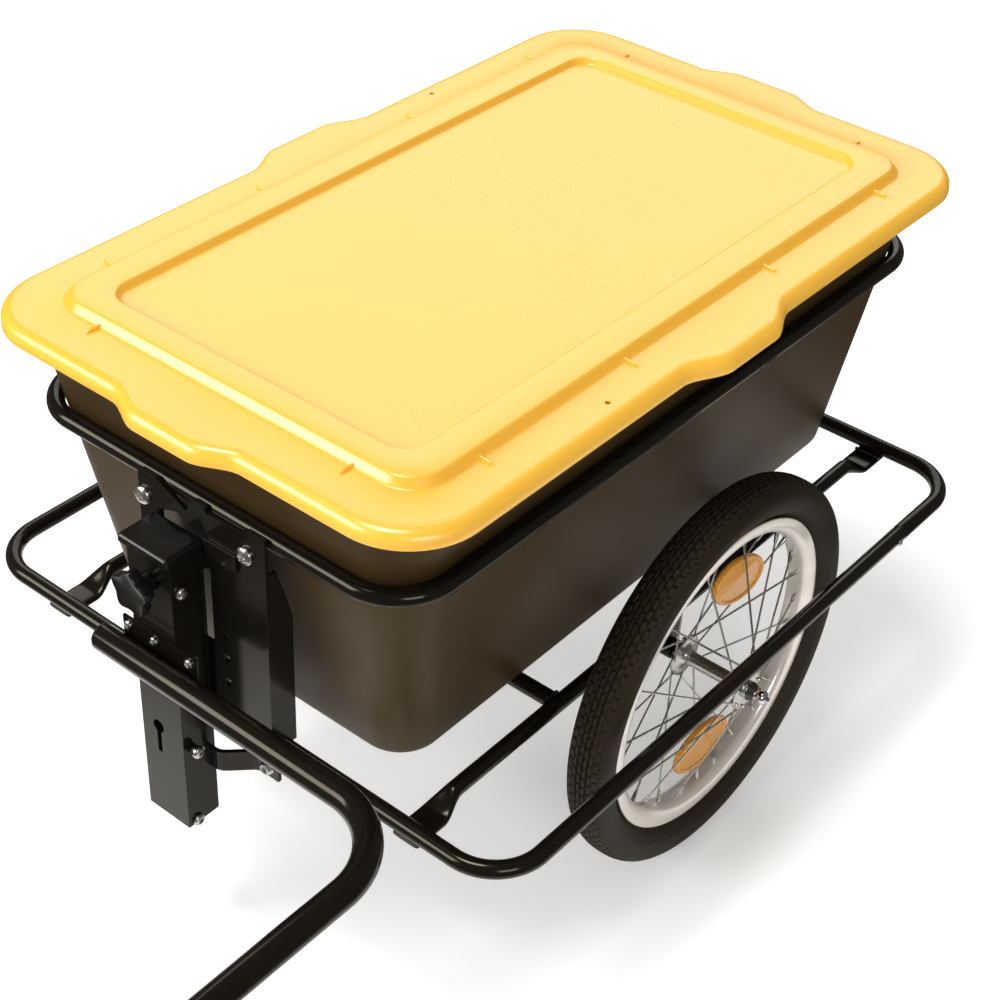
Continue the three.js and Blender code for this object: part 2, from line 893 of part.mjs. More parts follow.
// The nut stands clear of the sloping wall at its lower edge
function nutFace() {
  const lowest = bracketScrewRise - bracketNutRadius;
  return boxShift - tubHalfLength(lowest) + tubWall + gap;
}

function hexRecess(direction, [x, y, z], headRadius, headHeight) {
  const depthShare = 0.55;
  const widthShare = 0.45;
  const back = direction.clone().multiplyScalar(-headHeight * depthShare);
  return rodAlong(
    direction,
    headRadius * widthShare,
    [x + back.x, y + back.y, z + back.z],
    headHeight + overrun,
    6,
  );
}

// A screw whose head stands on a face; the shank runs against the direction of the head
function screw(name, direction, [x, y, z], radius, length, headRadius, headHeight) {
  const crownShare = 0.75;
  const back = direction.clone().negate();
  const rest = direction.clone().multiplyScalar(gap);
  const seat = [x + rest.x, y + rest.y, z + rest.z];
  const head = rodAlong(direction, headRadius, seat, headHeight, 14, headRadius * crownShare);
  const start = direction.clone().multiplyScalar(gap * 2);
  const shank = rodAlong(back, radius, [x + start.x, y + start.y, z + start.z], length + gap * 2, 10);
  const tip = direction.clone().multiplyScalar(gap + headHeight);
  const recess = hexRecess(direction, [x + tip.x, y + tip.y, z + tip.z], headRadius, headHeight);
  return piece(name, toGeometry(cut(joined(head, shank), recess)), zinc);
}

function bracketScrew(name, x) {
  const length = nutFace() + bracketNutHeight + gap - bracketFront;
  const place = [x, bracketFront, frameHeight + bracketScrewRise];
  return screw(
    name,
    AHEAD,
    place,
    bracketScrewRadius,
    length,
    bracketScrewHead,
    bracketScrewHeadHeight,
  );
}

function bracketNut(name, x) {
  const place = [x, nutFace(), frameHeight + bracketScrewRise];
  const hole = [place[0], place[1] - overrun, place[2]];
  const body = rodAlong(BACK, bracketNutRadius, place, bracketNutHeight, 6);
  const bore = rodAlong(BACK, bracketScrewRadius + gap, hole, bracketNutHeight + overrun * 2, 12);
  return piece(name, toGeometry(cut(toSolid(body), bore)), zinc);
}

// Post
function postScrewY() {
  return postFront + postScrewFromFront;
}

function post() {
  const low = frameHeight + postBottom;
  const high = frameHeight + postTop;
  const outside = block(postLeft, postRight, postFront, postBack, low, high);
  const inside = block(
    postLeft + postWall,
    postRight - postWall,
    postFront + postWall,
    postBack - postWall,
    low - overrun,
    high + overrun,
  );
  const keyhole = frameHeight + keyholeRise;
  const through = postWall + overrun * 2;
  const faceStart = postFront - overrun;
  const tools = [
    inside,
    rodAlong(BACK, keyholeRadius, [keyholePlace, faceStart, keyhole], through, 14),
    block(
      keyholePlace - keyholeWidth / 2,
      keyholePlace + keyholeWidth / 2,
      faceStart,
      postFront + postWall + overrun,
      keyhole - keyholeLength,
      keyhole,
    ),
    rodAlong(BACK, studRadius + gap, [postMiddle, faceStart, frameHeight + knobRise], through, 12),
    rodAlong(
      BACK,
      saddleScrewRadius + gap,
      [saddleScrewPlaces[1], faceStart, frameHeight + saddleScrewRise],
      through,
      10,
    ),
    ...postScrewRises.map((rise) => rodAlong(
      LEFT,
      postScrewRadius + gap,
      [postRight - postWall - overrun, postScrewY(), frameHeight + rise],
      through,
      10,
    )),
  ];
  return piece('post', toGeometry(cut(toSolid(outside), ...tools)), blackGloss);
}

function postCap() {
  const x0 = postMiddle - capWidth / 2;
  const x1 = postMiddle + capWidth / 2;
  const y0 = postBack - gap - capDepth;
  const y1 = postBack - gap;
  const bottom = frameHeight + postTop + gap;
  const ring = (inset, z) => [
    new THREE.Vector3(x0 + inset, y0 + inset, z),
    new THREE.Vector3(x1 - inset, y0 + inset, z),
    new THREE.Vector3(x1 - inset, y1 - inset, z),
    new THREE.Vector3(x0 + inset, y1 - inset, z),
  ];
  const rings = [ring(0, bottom), ring(0, bottom + capHeight - capBevel), ring(capBevel, bottom + capHeight)];
  return piece('post_cap', skin(rings), softBlack);
}

function postScrew(index) {
  const extra = index === 1 ? standoffLength + gap : 0;
  return screw(
    `post_screw_${postScrewNames[index]}`,
    LEFT,
    [postRight + extra, postScrewY(), frameHeight + postScrewRises[index]],
    postScrewRadius,
    postScrewLength + extra,
    postScrewHead,
    postScrewHeadHeight,
  );
}

function standoff() {
  const place = [postRight + gap, postScrewY(), frameHeight + postScrewRises[1]];
  const hole = [place[0] - overrun, place[1], place[2]];
  const body = rodAlong(LEFT, standoffRadius, place, standoffLength, 12);
  const bore = rodAlong(LEFT, postScrewRadius + gap, hole, standoffLength + overrun * 2, 10);
  return piece('post_standoff', toGeometry(cut(toSolid(body), bore)), darkSteel);
}

// Star knob with its stud
function starKnob() {
  const height = frameHeight + knobRise;
  const headBack = postFront - gap - knobBossLength;
  const shape = new THREE.Shape();
  const points = knobLobes * 6;
  for (let k = 0; k < points; k += 1) {
    const angle = 2 * Math.PI * k / points;
    const wave = (1 + Math.cos(knobLobes * angle)) / 2;
    const radius = knobRadius * (knobWaistShare + (1 - knobWaistShare) * wave);
    const x = radius * Math.cos(angle + knobTurn);
    const y = radius * Math.sin(angle + knobTurn);
    if (k === 0) {
      shape.moveTo(x, y);
    } else {
      shape.lineTo(x, y);
    }
  }
  shape.closePath();
  const head = new THREE.ExtrudeGeometry(shape, { depth: knobThickness, bevelEnabled: false })
    .rotateX(Math.PI / 2)
    .translate(postMiddle, headBack, height);
  const bossStart = [postMiddle, headBack - knobThickness / 2, height];
  const boss = rodAlong(BACK, knobBossRadius, bossStart, knobBossLength + knobThickness / 2, 14);
  const stud = rodAlong(
    BACK,
    studRadius,
    bossStart,
    knobThickness / 2 + knobBossLength + studReach,
    12,
  );
  return piece('star_knob', toGeometry(joined(head, boss, stud)), softBlack);
}

// Stay: a flat bar on edge from the post to a tab under the lower loop
function stay() {
  const middle = frameHeight + stayRise;
  const half = stayHeight / 2;
  const tabX = stayEndPlace;
  const corners = [
    [postRight + gap, stayLine],
    [postRight + gap + stayStraight, stayLine],
    [tabX - stayFootLength / 2, frontTube],
    [tabX + stayFootLength / 2, frontTube],
  ];
  const rings = levelPath(corners, stayBend, 3).map(({ place, heading }) => {
    const side = new THREE.Vector2(heading.y, -heading.x).multiplyScalar(stayThickness / 2);
    return [
      new THREE.Vector3(place.x - side.x, place.y - side.y, middle - half),
      new THREE.Vector3(place.x - side.x, place.y - side.y, middle + half),
      new THREE.Vector3(place.x + side.x, place.y + side.y, middle + half),
      new THREE.Vector3(place.x + side.x, place.y + side.y, middle - half),
    ];
  });
  const tab = block(
    tabX - stayFootLength / 2,
    tabX + stayFootLength / 2,
    frontTube - stayThickness / 2,
    frontTube + stayThickness / 2,
    middle,
    frameHeight - frameTube / 2 - gap,
  );
  const hole = rodAlong(
    BACK,
    stayBoltRadius + gap,
    [tabX, frontTube - overrun, middle],
    overrun * 2,
    12,
  );
  return piece('stay', toGeometry(cut(joined(skin(rings), tab), hole)), blackGloss);
}

function stayBolt() {
  return screw(
    'stay_bolt',
    AHEAD,
    [stayEndPlace, frontTube - stayThickness / 2, frameHeight + stayRise],
    stayBoltRadius,
    stayThickness + stayBoltRadius * 2,
    stayBoltHead,
    stayBoltHeadHeight,
  );
}

// Saddle behind the drawbar
function saddle() {
  const shelfTop = drawbarHeight - drawbarTube / 2 - gap;
  const shelf = shelfTop - saddleThickness;
  const plate = block(saddleLeft, saddleRight, saddleFront, saddleBack, shelf, frameHeight + saddleTop);
  const lip = block(saddleLeft, saddleRight, saddleFront - saddleLip, saddleBack, shelf, shelfTop);
  const holes = saddleScrewPlaces.map((x) => rodAlong(
    BACK,
    saddleScrewRadius + gap,
    [x, saddleFront - overrun, frameHeight + saddleScrewRise],
    saddleThickness + overrun * 2,
    10,
  ));
  return piece('drawbar_saddle', toGeometry(cut(joined(plate, lip), ...holes)), blackGloss);
}

function saddleScrew(name, x) {
  return screw(
    name,
    AHEAD,
    [x, saddleFront, frameHeight + saddleScrewRise],
    saddleScrewRadius,
    saddleScrewLength,
    saddleScrewHead,
    saddleScrewHeadHeight,
  );
}

// Drawbar
function drawbarStops() {
  return levelPath(
    [
      [drawbarEnd, drawbarLine],
      [drawbarSide, drawbarLine],
      [drawbarSide, -drawbarStraight],
      [drawbarTip, -drawbarStraight - drawbarSweep],
      [drawbarTip, -drawbarReach],
    ],
    drawbarBend,
    4,
  );
}

function drawbar() {
  const tube = levelPipe(drawbarStops(), drawbarHeight, drawbarTube, drawbarBore, 12);
  return piece('drawbar', tube, blackGloss);
}

function drawbarPlug() {
  const start = drawbarEnd - gap;
  const tube = drawbarTube / 2;
  const head = rodAlong(RIGHT, tube, [start, drawbarLine, drawbarHeight], plugHead, 14, tube * plugEdgeShare);
  const shank = rodAlong(
    LEFT,
    drawbarBore / 2 - plugPlay,
    [start - plugHead / 2, drawbarLine, drawbarHeight],
    plugLength,
    10,
  );
  return piece('drawbar_plug', toGeometry(joined(head, shank)), softBlack);
}

// Coupling: a sleeve on the drawbar's tip, a fork ahead of it and a pin through the fork
function coupling() {
  const z = drawbarHeight;
  const sleeveStart = -drawbarReach + couplingSocketDepth;
  const sleeve = rodAlong(
    AHEAD,
    couplingSocketRadius,
    [drawbarTip, sleeveStart, z],
    couplingSocketLength,
    16,
  );
  const bore = rodAlong(
    AHEAD,
    drawbarTube / 2 + gap,
    [drawbarTip, sleeveStart + overrun, z],
    couplingSocketDepth + overrun + gap,
    14,
  );
  const forkBack = sleeveStart - couplingSocketLength + overrun;
  const fork = block(
    drawbarTip - forkWidth / 2,
    drawbarTip + forkWidth / 2,
    forkEnd,
    forkBack,
    z - forkHeight / 2,
    z + forkHeight / 2,
  );
  const mouth = block(
    drawbarTip - forkWidth,
    drawbarTip + forkWidth,
    forkEnd - overrun,
    forkBack - overrun,
    z - forkMouth / 2,
    z + forkMouth / 2,
  );
  const pinHole = rodAlong(
    UP,
    forkPinRadius + shaftPlay,
    [drawbarTip, forkEnd + forkPinSetback, z - forkHeight],
    forkHeight * 2,
    16,
  );
  const solid = cut(joined(sleeve, fork), bore, mouth, pinHole);
  return piece('coupling_fork', toGeometry(solid), blackGloss);
}

function couplingPin() {
  const y = forkEnd + forkPinSetback;
  const top = drawbarHeight + forkHeight / 2 + gap;
  const bottom = drawbarHeight - forkHeight / 2 - pinTail;
  const shank = rodAlong(UP, forkPinRadius, [drawbarTip, y, bottom], top - bottom + pinHeadHeight / 2, 16);
  const head = rodAlong(UP, pinHeadRadius, [drawbarTip, y, top], pinHeadHeight, 16);
  return piece('coupling_pin', toGeometry(joined(shank, head)), zinc);
}

// Wheel pieces, about the wheel's own axle, outward along +X
function tyre(name) {
  const height = tyreRadius - rimEdgeRadius;
  const half = tyreWidth / 2;
  const outerShares = [[0.04, 0.44], [0.3, 0.92], [0.66, 1], [1, 0.44]];
  const innerShares = [[0.12, 0.36], [0.5, 0.82], [0.88, 0.34]];
  const spot = ([heightShare, widthShare]) => [rimEdgeRadius + height * heightShare, half * widthShare];
  const beadOut = rimWidth / 2 - rimLip - gap;
  const outer = [[wellRadius + gap, beadOut], ...outerShares.map(spot)];
  const inner = [[wellRadius + gap, beadOut - tyreWall], ...innerShares.map(spot)];
  const mirrored = (list) => list.map(([radius, x]) => [radius, -x]);
  const profile = [
    ...outer,
    ...mirrored(outer).reverse(),
    ...mirrored(inner),
    ...inner.reverse(),
  ].map(([radius, x]) => [radius, wheelPlane + x]);
  return piece(name, turned(profile, wheelSegments), tyreRubber);
}

// The valve stands midway between two spokes that lean apart
function valveAngle() {
  return 2 * Math.PI / spokeCount * (valveAfterSpoke + 1 / 2);
}

function rim(name) {
  const half = rimWidth / 2;
  const lip = half - rimLip;
  const shoulder = wellRadius - rimLip / 2;
  const right = [
    [rimInnerRadius, rimBaseWidth / 2],
    [shoulder, half],
    [rimEdgeRadius, half],
    [rimEdgeRadius, lip],
    [wellRadius, lip],
  ];
  const profile = [...right, ...right.map(([radius, x]) => [radius, -x]).reverse()]
    .map(([radius, x]) => [radius, wheelPlane + x]);
  const angle = valveAngle();
  const inward = new THREE.Vector3(0, -Math.cos(angle), -Math.sin(angle));
  const start = rimEdgeRadius;
  const hole = rodAlong(
    inward,
    valveRadius + gap,
    [wheelPlane, start * Math.cos(angle), start * Math.sin(angle)],
    rimEdgeRadius - rimInnerRadius + overrun,
    10,
  );
  return piece(name, toGeometry(cut(toSolid(turned(profile, wheelSegments)), hole)), aluminium);
}

function valve(name) {
  const angle = valveAngle();
  const inward = new THREE.Vector3(0, -Math.cos(angle), -Math.sin(angle));
  const at = (radius) => [wheelPlane, radius * Math.cos(angle), radius * Math.sin(angle)];
  const foot = rodAlong(inward, valveFootRadius, at(wellRadius + gap + valveFoot), valveFoot, 10);
  const stem = rodAlong(inward, valveRadius, at(wellRadius + gap + valveFoot / 2), valveLength, 8, valveRadius / 2);
  return piece(name, toGeometry(joined(foot, stem)), softBlack);
}

// Hub barrel, two flanges and spokes that cross in pairs
function hub(name) {
  const length = hubOuter - hubInner;
  const flangeInner = hubInner + hubFlangeThickness;
  const flangeOuter = hubOuter - hubFlangeThickness * 2;
  const barrel = rodAlong(LEFT, hubBarrelRadius, [hubInner, 0, 0], length, 18);
  const flanges = [flangeInner, flangeOuter].map((x) => rodAlong(
    LEFT,
    hubFlangeRadius,
    [x, 0, 0],
    hubFlangeThickness,
    24,
  ));
  const lean = THREE.MathUtils.degToRad(spokeLean);
  const pitch = 2 * Math.PI / spokeCount;
  const spokes = [];
  for (let k = 0; k < spokeCount; k += 1) {
    const outerSide = k % 2 === 0;
    const turn = Math.floor(k / 2) % 2 === 0 ? 1 : -1;
    const x = (outerSide ? flangeOuter : flangeInner) + hubFlangeThickness / 2 + turn * spokeStagger;
    const rimAngle = pitch * k;
    const hubAngle = rimAngle + turn * lean;
    const reach = rimInnerRadius - gap;
    const from = new THREE.Vector3(
      x,
      spokeCircleRadius * Math.cos(hubAngle),
      spokeCircleRadius * Math.sin(hubAngle),
    );
    const to = new THREE.Vector3(
      wheelPlane + turn * spokeRimStagger,
      reach * Math.cos(rimAngle),
      reach * Math.sin(rimAngle),
    );
    const direction = to.clone().sub(from);
    const size = direction.length() - spokeDiameter / 2;
    spokes.push(rodAlong(direction.normalize(), spokeDiameter / 2, from.toArray(), size, 4));
  }
  const bore = rodAlong(
    LEFT,
    axleRadius + shaftPlay,
    [hubInner - overrun, 0, 0],
    length + overrun * 2,
    18,
  );
  return piece(name, toGeometry(cut(joined(barrel, ...flanges, ...spokes), bore)), zinc);
}

function cone(name, start, radius, endRadius) {
  const body = rodAlong(LEFT, radius, [start, 0, 0], coneLength, 14, endRadius);
  const bore = rodAlong(
    LEFT,
    axleRadius + shaftPlay,
    [start - overrun, 0, 0],
    coneLength + overrun * 2,
    18,
  );
  return piece(name, toGeometry(cut(toSolid(body), bore)), darkSteel);
}

function reflector(name, degrees) {
  const shape = new THREE.Shape();
  shape.absellipse(0, 0, reflectorLength / 2, reflectorHeight / 2, 0, Math.PI * 2);
  const geometry = new THREE.ExtrudeGeometry(shape, {
    depth: reflectorThickness,
    bevelEnabled: false,
    curveSegments: 20,
  });
  geometry.rotateY(Math.PI / 2);
  geometry.translate(reflectorPlane - reflectorThickness / 2, reflectorRadius, 0);
  geometry.rotateX(THREE.MathUtils.degToRad(degrees));
  return piece(name, geometry, amber);
}

function wheel(label, side) {
  return sideGroup(
    side,
    axleHeight,
    tyre(`tyre_${label}`),
    rim(`rim_${label}`),
    hub(`hub_${label}`),
    cone(`cone_inner_${label}`, hubInner - gap - coneLength, coneNoseRadius, coneRadius),
    cone(`cone_outer_${label}`, hubOuter + gap, coneRadius, coneNoseRadius),
    reflector(`reflector_upper_${label}`, reflectorUpperAngle),
    reflector(`reflector_lower_${label}`, reflectorLowerAngle),
    valve(`valve_${label}`),
  );
}

// Quick-release axle, its button and its socket under the inner rail
function socket(name) {
  const middle = axleDrop - railTube / 2 - gap;
  const bush = rodAlong(LEFT, socketRadius, [socketEnd - socketLength, 0, 0], socketLength, 18);
  const web = block(
    railPlace - socketWebThickness / 2,
    railPlace + socketWebThickness / 2,
    -socketWebWidth / 2,
    socketWebWidth / 2,
    0,
    middle,
  );
  const bore = rodAlong(
    LEFT,
    axleRadius + shaftPlay,
    [socketEnd - socketLength - overrun, 0, 0],
    socketLength + overrun * 2,
    18,
  );
  return piece(name, toGeometry(cut(joined(bush, web), bore)), blackGloss);
}

function axle(name) {
  const pinStart = socketEnd - socketLength + gap;
  const pin = rodAlong(LEFT, axleRadius, [pinStart, 0, 0], axleHeadStart + axleHeadLength / 2 - pinStart, 18);
  const head = rodAlong(LEFT, axleHeadRadius, [axleHeadStart, 0, 0], axleHeadLength, 18);
  const noseStart = axleHeadStart + axleHeadLength;
  const nose = rodAlong(LEFT, axleHeadRadius, [noseStart, 0, 0], axleNoseLength, 18, axleHeadRadius / 2 + buttonRadius / 2);
  const well = rodAlong(
    LEFT,
    buttonRadius + gap,
    [noseStart + axleNoseLength - buttonWell, 0, 0],
    buttonWell + overrun,
    14,
  );
  return piece(name, toGeometry(cut(joined(pin, head, nose), well)), chrome);
}

function button(name) {
  const end = axleHeadStart + axleHeadLength + axleNoseLength + buttonProud;
  const crown = buttonProud / 2;
  const body = rodAlong(LEFT, buttonRadius, [end - buttonLength - buttonProud, 0, 0], buttonLength + crown, 14);
  const top = rodAlong(LEFT, buttonRadius, [end - crown, 0, 0], crown, 14, buttonRadius / 2);
  return piece(name, toGeometry(joined(body, top)), chrome);
}

// The whole trailer, with its origin on the ground under the middle of its length
const trailer = new THREE.Group();
trailer.add(
  lowerLoopHalf('lower_loop_front', true),
  lowerLoopHalf('lower_loop_rear', false),
  rivet('rivet_left', 1),
  rivet('rivet_right', -1),
  rail('rail_left', 1),
  rail('rail_right', -1),
  crossMember('cross_member_front', -crossPlace),
  crossMember('cross_member_rear', crossPlace),
  upperLoop(),
  hitchBracket(),
  rearBracket(),
  bracketScrew('bracket_screw_left', bracketScrewPlaces[1]),
  bracketScrew('bracket_screw_right', bracketScrewPlaces[0]),
  bracketNut('bracket_nut_left', bracketScrewPlaces[1]),
  bracketNut('bracket_nut_right', bracketScrewPlaces[0]),
  post(),
  postCap(),
  postScrew(0),
  postScrew(1),
  postScrew(2),
  standoff(),
  stay(),
  stayBolt(),
  saddle(),
  saddleScrew('saddle_screw_right', saddleScrewPlaces[0]),
  saddleScrew('saddle_screw_middle', saddleScrewPlaces[1]),
  saddleScrew('saddle_screw_left', saddleScrewPlaces[2]),
  tub(),
  lid(),
  starKnob(),
  drawbar(),
  drawbarPlug(),
  coupling(),
  couplingPin(),
  wheel('left', 1),
  wheel('right', -1),
  sideGroup(1, axleHeight, socket('socket_left'), axle('axle_left'), button('button_left')),
  sideGroup(-1, axleHeight, socket('socket_right'), axle('axle_right'), button('button_right')),
);
const front = forkEnd;
const rear = boxShift + lidHalfLength + lidEndLobe;
trailer.position.y = -(front + rear) / 2;

export default trailer;
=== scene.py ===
"""Shopping trailer for a bicycle: fine surfaces, finishes, floor, lights and camera.

Metres, +Z up from the ground, -Y ahead, +X to the trailer's left.
"""

import math

import bmesh
import bpy
import numpy as np
from mathutils import Matrix, Vector


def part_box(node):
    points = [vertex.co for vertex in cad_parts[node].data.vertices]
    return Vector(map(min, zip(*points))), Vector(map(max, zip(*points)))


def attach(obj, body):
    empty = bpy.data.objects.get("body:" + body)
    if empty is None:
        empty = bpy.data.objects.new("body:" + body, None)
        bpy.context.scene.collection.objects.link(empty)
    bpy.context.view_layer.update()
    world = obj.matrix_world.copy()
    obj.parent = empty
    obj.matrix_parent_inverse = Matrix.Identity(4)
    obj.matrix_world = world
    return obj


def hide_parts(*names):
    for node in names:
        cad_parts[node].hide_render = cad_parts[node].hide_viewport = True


bl_info = {
    "name": "Shopping Trailer",
    "version": (1, 0, 0),
    "blender": (4, 5, 0),
    "location": "View3D > Sidebar > Trailer",
    "description": "Builds the fine surfaces and finishes of a bicycle shopping trailer",
    "category": "Add Mesh",
}

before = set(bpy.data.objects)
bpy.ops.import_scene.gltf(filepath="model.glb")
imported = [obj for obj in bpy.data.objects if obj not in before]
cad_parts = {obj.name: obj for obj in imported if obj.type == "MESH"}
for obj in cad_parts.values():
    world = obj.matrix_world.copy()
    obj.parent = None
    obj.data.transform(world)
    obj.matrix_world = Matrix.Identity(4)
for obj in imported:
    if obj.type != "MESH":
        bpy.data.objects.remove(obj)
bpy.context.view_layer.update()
MM = 0.001
SIDES = (("left", 1.0), ("right", -1.0))
CROSS_MEMBERS = ("cross_member_front", "cross_member_rear")
X_AXIS, Y_AXIS, Z_AXIS = np.eye(3)
MERGE_DISTANCE = 0.01 * MM
BEVEL_ANGLE = math.radians(32)
PATH_STEP = 2 * MM
CLEARANCE = 0.3 * MM
# A heading runs along an axis if the cosine between them is above this
ALONG = 0.9
# Turns that bring +X to point along another axis
LEFTWARDS = ((1, 0, 0), (0, 1, 0), (0, 0, 1))
FORWARDS = ((0, 1, 0), (-1, 0, 0), (0, 0, 1))
UPWARDS = ((0, 0, -1), (0, 1, 0), (1, 0, 0))


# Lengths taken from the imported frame
def low(node):
    return np.array(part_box(node)[0])


def high(node):
    return np.array(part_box(node)[1])


def middle(node):
    return (low(node) + high(node)) / 2


AXLE_Y = float(middle("tyre_left")[1])
AXLE_Z = float(middle("tyre_left")[2])
FRAME_Z = float(middle("lower_loop_front")[2])
BOX_Y = float(middle("rim_loop")[1])


def number(name, description, default, **traits):
    return bpy.props.FloatProperty(name=name, description=description, default=default, min=0.0, **traits)


def lengths(**rows):
    """Length properties named after their keys, from first values in millimetres and descriptions."""
    made = {}
    for key, (values, text) in rows.items():
        name = key.replace("_", " ").capitalize()
        traits = {"name": name, "description": text, "min": 0.0, "unit": "LENGTH", "precision": 4}
        if isinstance(values, tuple):
            default = [value * MM for value in values]
            made[key] = bpy.props.FloatVectorProperty(default=default, size=len(values), **traits)
        else:
            made[key] = bpy.props.FloatProperty(default=values * MM, **traits)
    return made


def rotation(name, description, degrees):
    return number(name, description, math.radians(degrees), unit="ROTATION", subtype="ANGLE")


def share(name, description, default):
    return number(name, description, default, max=1.0, subtype="FACTOR")


def count(name, description, default):
    return bpy.props.IntProperty(name=name, description=description, default=default, min=8)


def colour(name, description, default):
    return bpy.props.FloatVectorProperty(
        name=name, description=description, default=default, size=3, min=0.0, max=1.0, subtype="COLOR",
    )


# Settings
class TrailerTubes(bpy.types.PropertyGroup):
    """Sizes of the frame's tubes"""

    __annotations__ = lengths(
        loop_tube=(16, "Outer diameter of both loops"),
        lower=((312.7, 361.8, 50), "Lower loop's tube centre: half width, half length, bend radius"),
        lower_joint=(248, "Joint of the lower loop behind the axle"),
        upper=((213, 375.5, 54), "Upper loop's tube centre: half width, half length, bend radius"),
        rail_place=(213.5, "Inner rail from the middle"),
        rail_tube=(15, "Outer diameter of the inner rails"),
        rail_flat=((28, 6, 34), "Width, thickness and length of a rail's flattened end"),
        rail_taper=(30, "Length over which the rail turns round"),
        weld_radius=(1.6, "Half the thickness of a weld bead"),
        drawbar_tube=(24, "Outer diameter of the drawbar"),
        drawbar_bend=(72, "Bend radius of the drawbar"),
        drawbar_run=((276, 700), "Drawbar's long run from the middle, and its end ahead of the axle"),
        drawbar_tip=((110, 160), "Drawbar's front end from the middle, and length of its slanting run"),
    )


class TrailerWheels(bpy.types.PropertyGroup):
    """Sizes of the wheels"""

    __annotations__ = lengths(
        tyre_radius=(196, "Ground to axle"),
        tyre_width=(43, "Width of the tyre"),
        rim_radius=(159, "Radius of the rim's edge"),
        rim_inner=(142, "Radius of the rim's inner face"),
        rim_width=(26, "Width over the rim's edges"),
        plane=(263.993, "Middle of the tyre from the middle of the trailer"),
        hub=((231, 309), "Inner and outer end of the hub"),
        barrel=(7, "Radius of the hub's barrel"),
        flange=(21, "Radius of the hub's flanges"),
        spoke_circle=(18.5, "Radius of the spoke holes in the flange"),
        spoke=(2, "Diameter of a spoke"),
        tread_depth=(2.5, "Depth of the grooves in the tread"),
        reflector=((42, 24), "Half length and half height of a reflector"),
        reflector_place=(95, "Middle of a reflector from the axle"),
        reflector_shift=(1, "Middle of a reflector out of the wheel's plane"),
    ) | {
        "reflector_upper": rotation("Upper reflector", "Turn of the upper reflector from the rear", 73),
        "reflector_lower": rotation("Lower reflector", "Turn of the lower reflector from the rear", 269),
        "tread_blocks": count("Tread blocks", "Blocks round the tyre", 112),
        "spokes": count("Spokes", "Spokes in a wheel", 28),
    }


class TrailerBox(bpy.types.PropertyGroup):
    """Sizes of the tub and its lid"""

    __annotations__ = lengths(
        wall=(3, "Wall of the tub and the lid"),
        bottom=((174.65, 329.65, 40), "Tub's floor: half width, half length, corner radius"),
        fillet=(12, "Rounding between floor and wall"),
        neck=(300, "Rise of the tub's neck above the lower tubes"),
        neck_corner=(49.4, "Corner radius at the neck"),
        brim=(12.7, "Rise of the brim above the neck"),
        lid=((248.3, 402, 68), "Lid: half width, half length, corner radius"),
        lid_edge=(10, "Rounding of the lid's outer edge"),
        end_lobe=((15.5, 72), "Bulge and half length of the lobes at the lid's ends"),
        side_lobe=((17, 78), "Bulge and half length of the lobes at the lid's sides"),
        ridge=((206, 354.5, 38), "Raised ridge: half width, half length, corner radius"),
        ridge_height=(8, "Height of the ridge"),
        ridge_slope=(9, "Width of the ridge's outer slope"),
        panel=((169.5, 323, 24), "Sunk panel: half width, half length, corner radius"),
        panel_depth=(6, "Depth of the panel under the ridge"),
        panel_slope=(7, "Width of the slope down to the panel"),
        hole=(2.5, "Radius of the two holes in the lid's brim"),
        hole_place=((229, 156), "Lid hole from the middle and from the lid's cross line"),
    )


class TrailerColours(bpy.types.PropertyGroup):
    """Colours of the trailer's finishes"""

    paint: colour("Paint", "Black paint of the frame", (0.006, 0.005, 0.004))
    tub: colour("Tub", "Moulded tub", (0.042, 0.024, 0.008))
    lid: colour("Lid", "Moulded lid", (0.97, 0.515, 0.043))
    tyre: colour("Tyre", "Tyre rubber", (0.009, 0.005, 0.002))
    amber: colour("Amber", "Reflector lens", (1.0, 0.40, 0.03))
    floor: colour("Floor", "Studio floor", (0.93, 0.93, 0.93))
    lid_roughness: share("Lid roughness", "Roughness of the lid", 0.28)


def settings(group):
    return getattr(bpy.context.scene, "trailer_" + group)


# Meshes
def smoothstep(t):
    """A cubic from 0 to 1 that is level at both ends: three t squared less two t cubed."""
    t = np.clip(t, 0.0, 1.0)
    return t * t * (3 - 2 * t)


def turns(samples):
    """Angles evenly round a full turn, its end left out."""
    return np.linspace(0, 2 * np.pi, samples, endpoint=False)


def quarter(samples):
    """Angles evenly over a quarter turn, both ends included."""
    return np.linspace(0, np.pi / 2, samples)


def unit(vectors):
    """Vectors divided by their lengths."""
    return vectors / np.linalg.norm(vectors, axis=-1, keepdims=True)


def grid_faces(rows, columns, wrap_rows, wrap_columns):
    """Corner numbers of the four-sided faces between neighbouring rows and columns of a grid."""
    i = np.arange(rows if wrap_rows else rows - 1)[:, None]
    j = np.arange(columns if wrap_columns else columns - 1)[None, :]
    ahead, beside = (i + 1) % rows, (j + 1) % columns
    corners = (i * columns + j, i * columns + beside, ahead * columns + beside, ahead * columns + j)
    return np.stack(np.broadcast_arrays(*corners), -1).reshape(-1, 4)


# Edges stay sharp above these angles in degrees: tubes, machined, moulded, turned and softly rounded pieces
SHARP, CRISP_SHARP, MOULDED_SHARP, TURNED_SHARP, SOFT_SHARP = 40.0, 35.0, 50.0, 45.0, 60.0


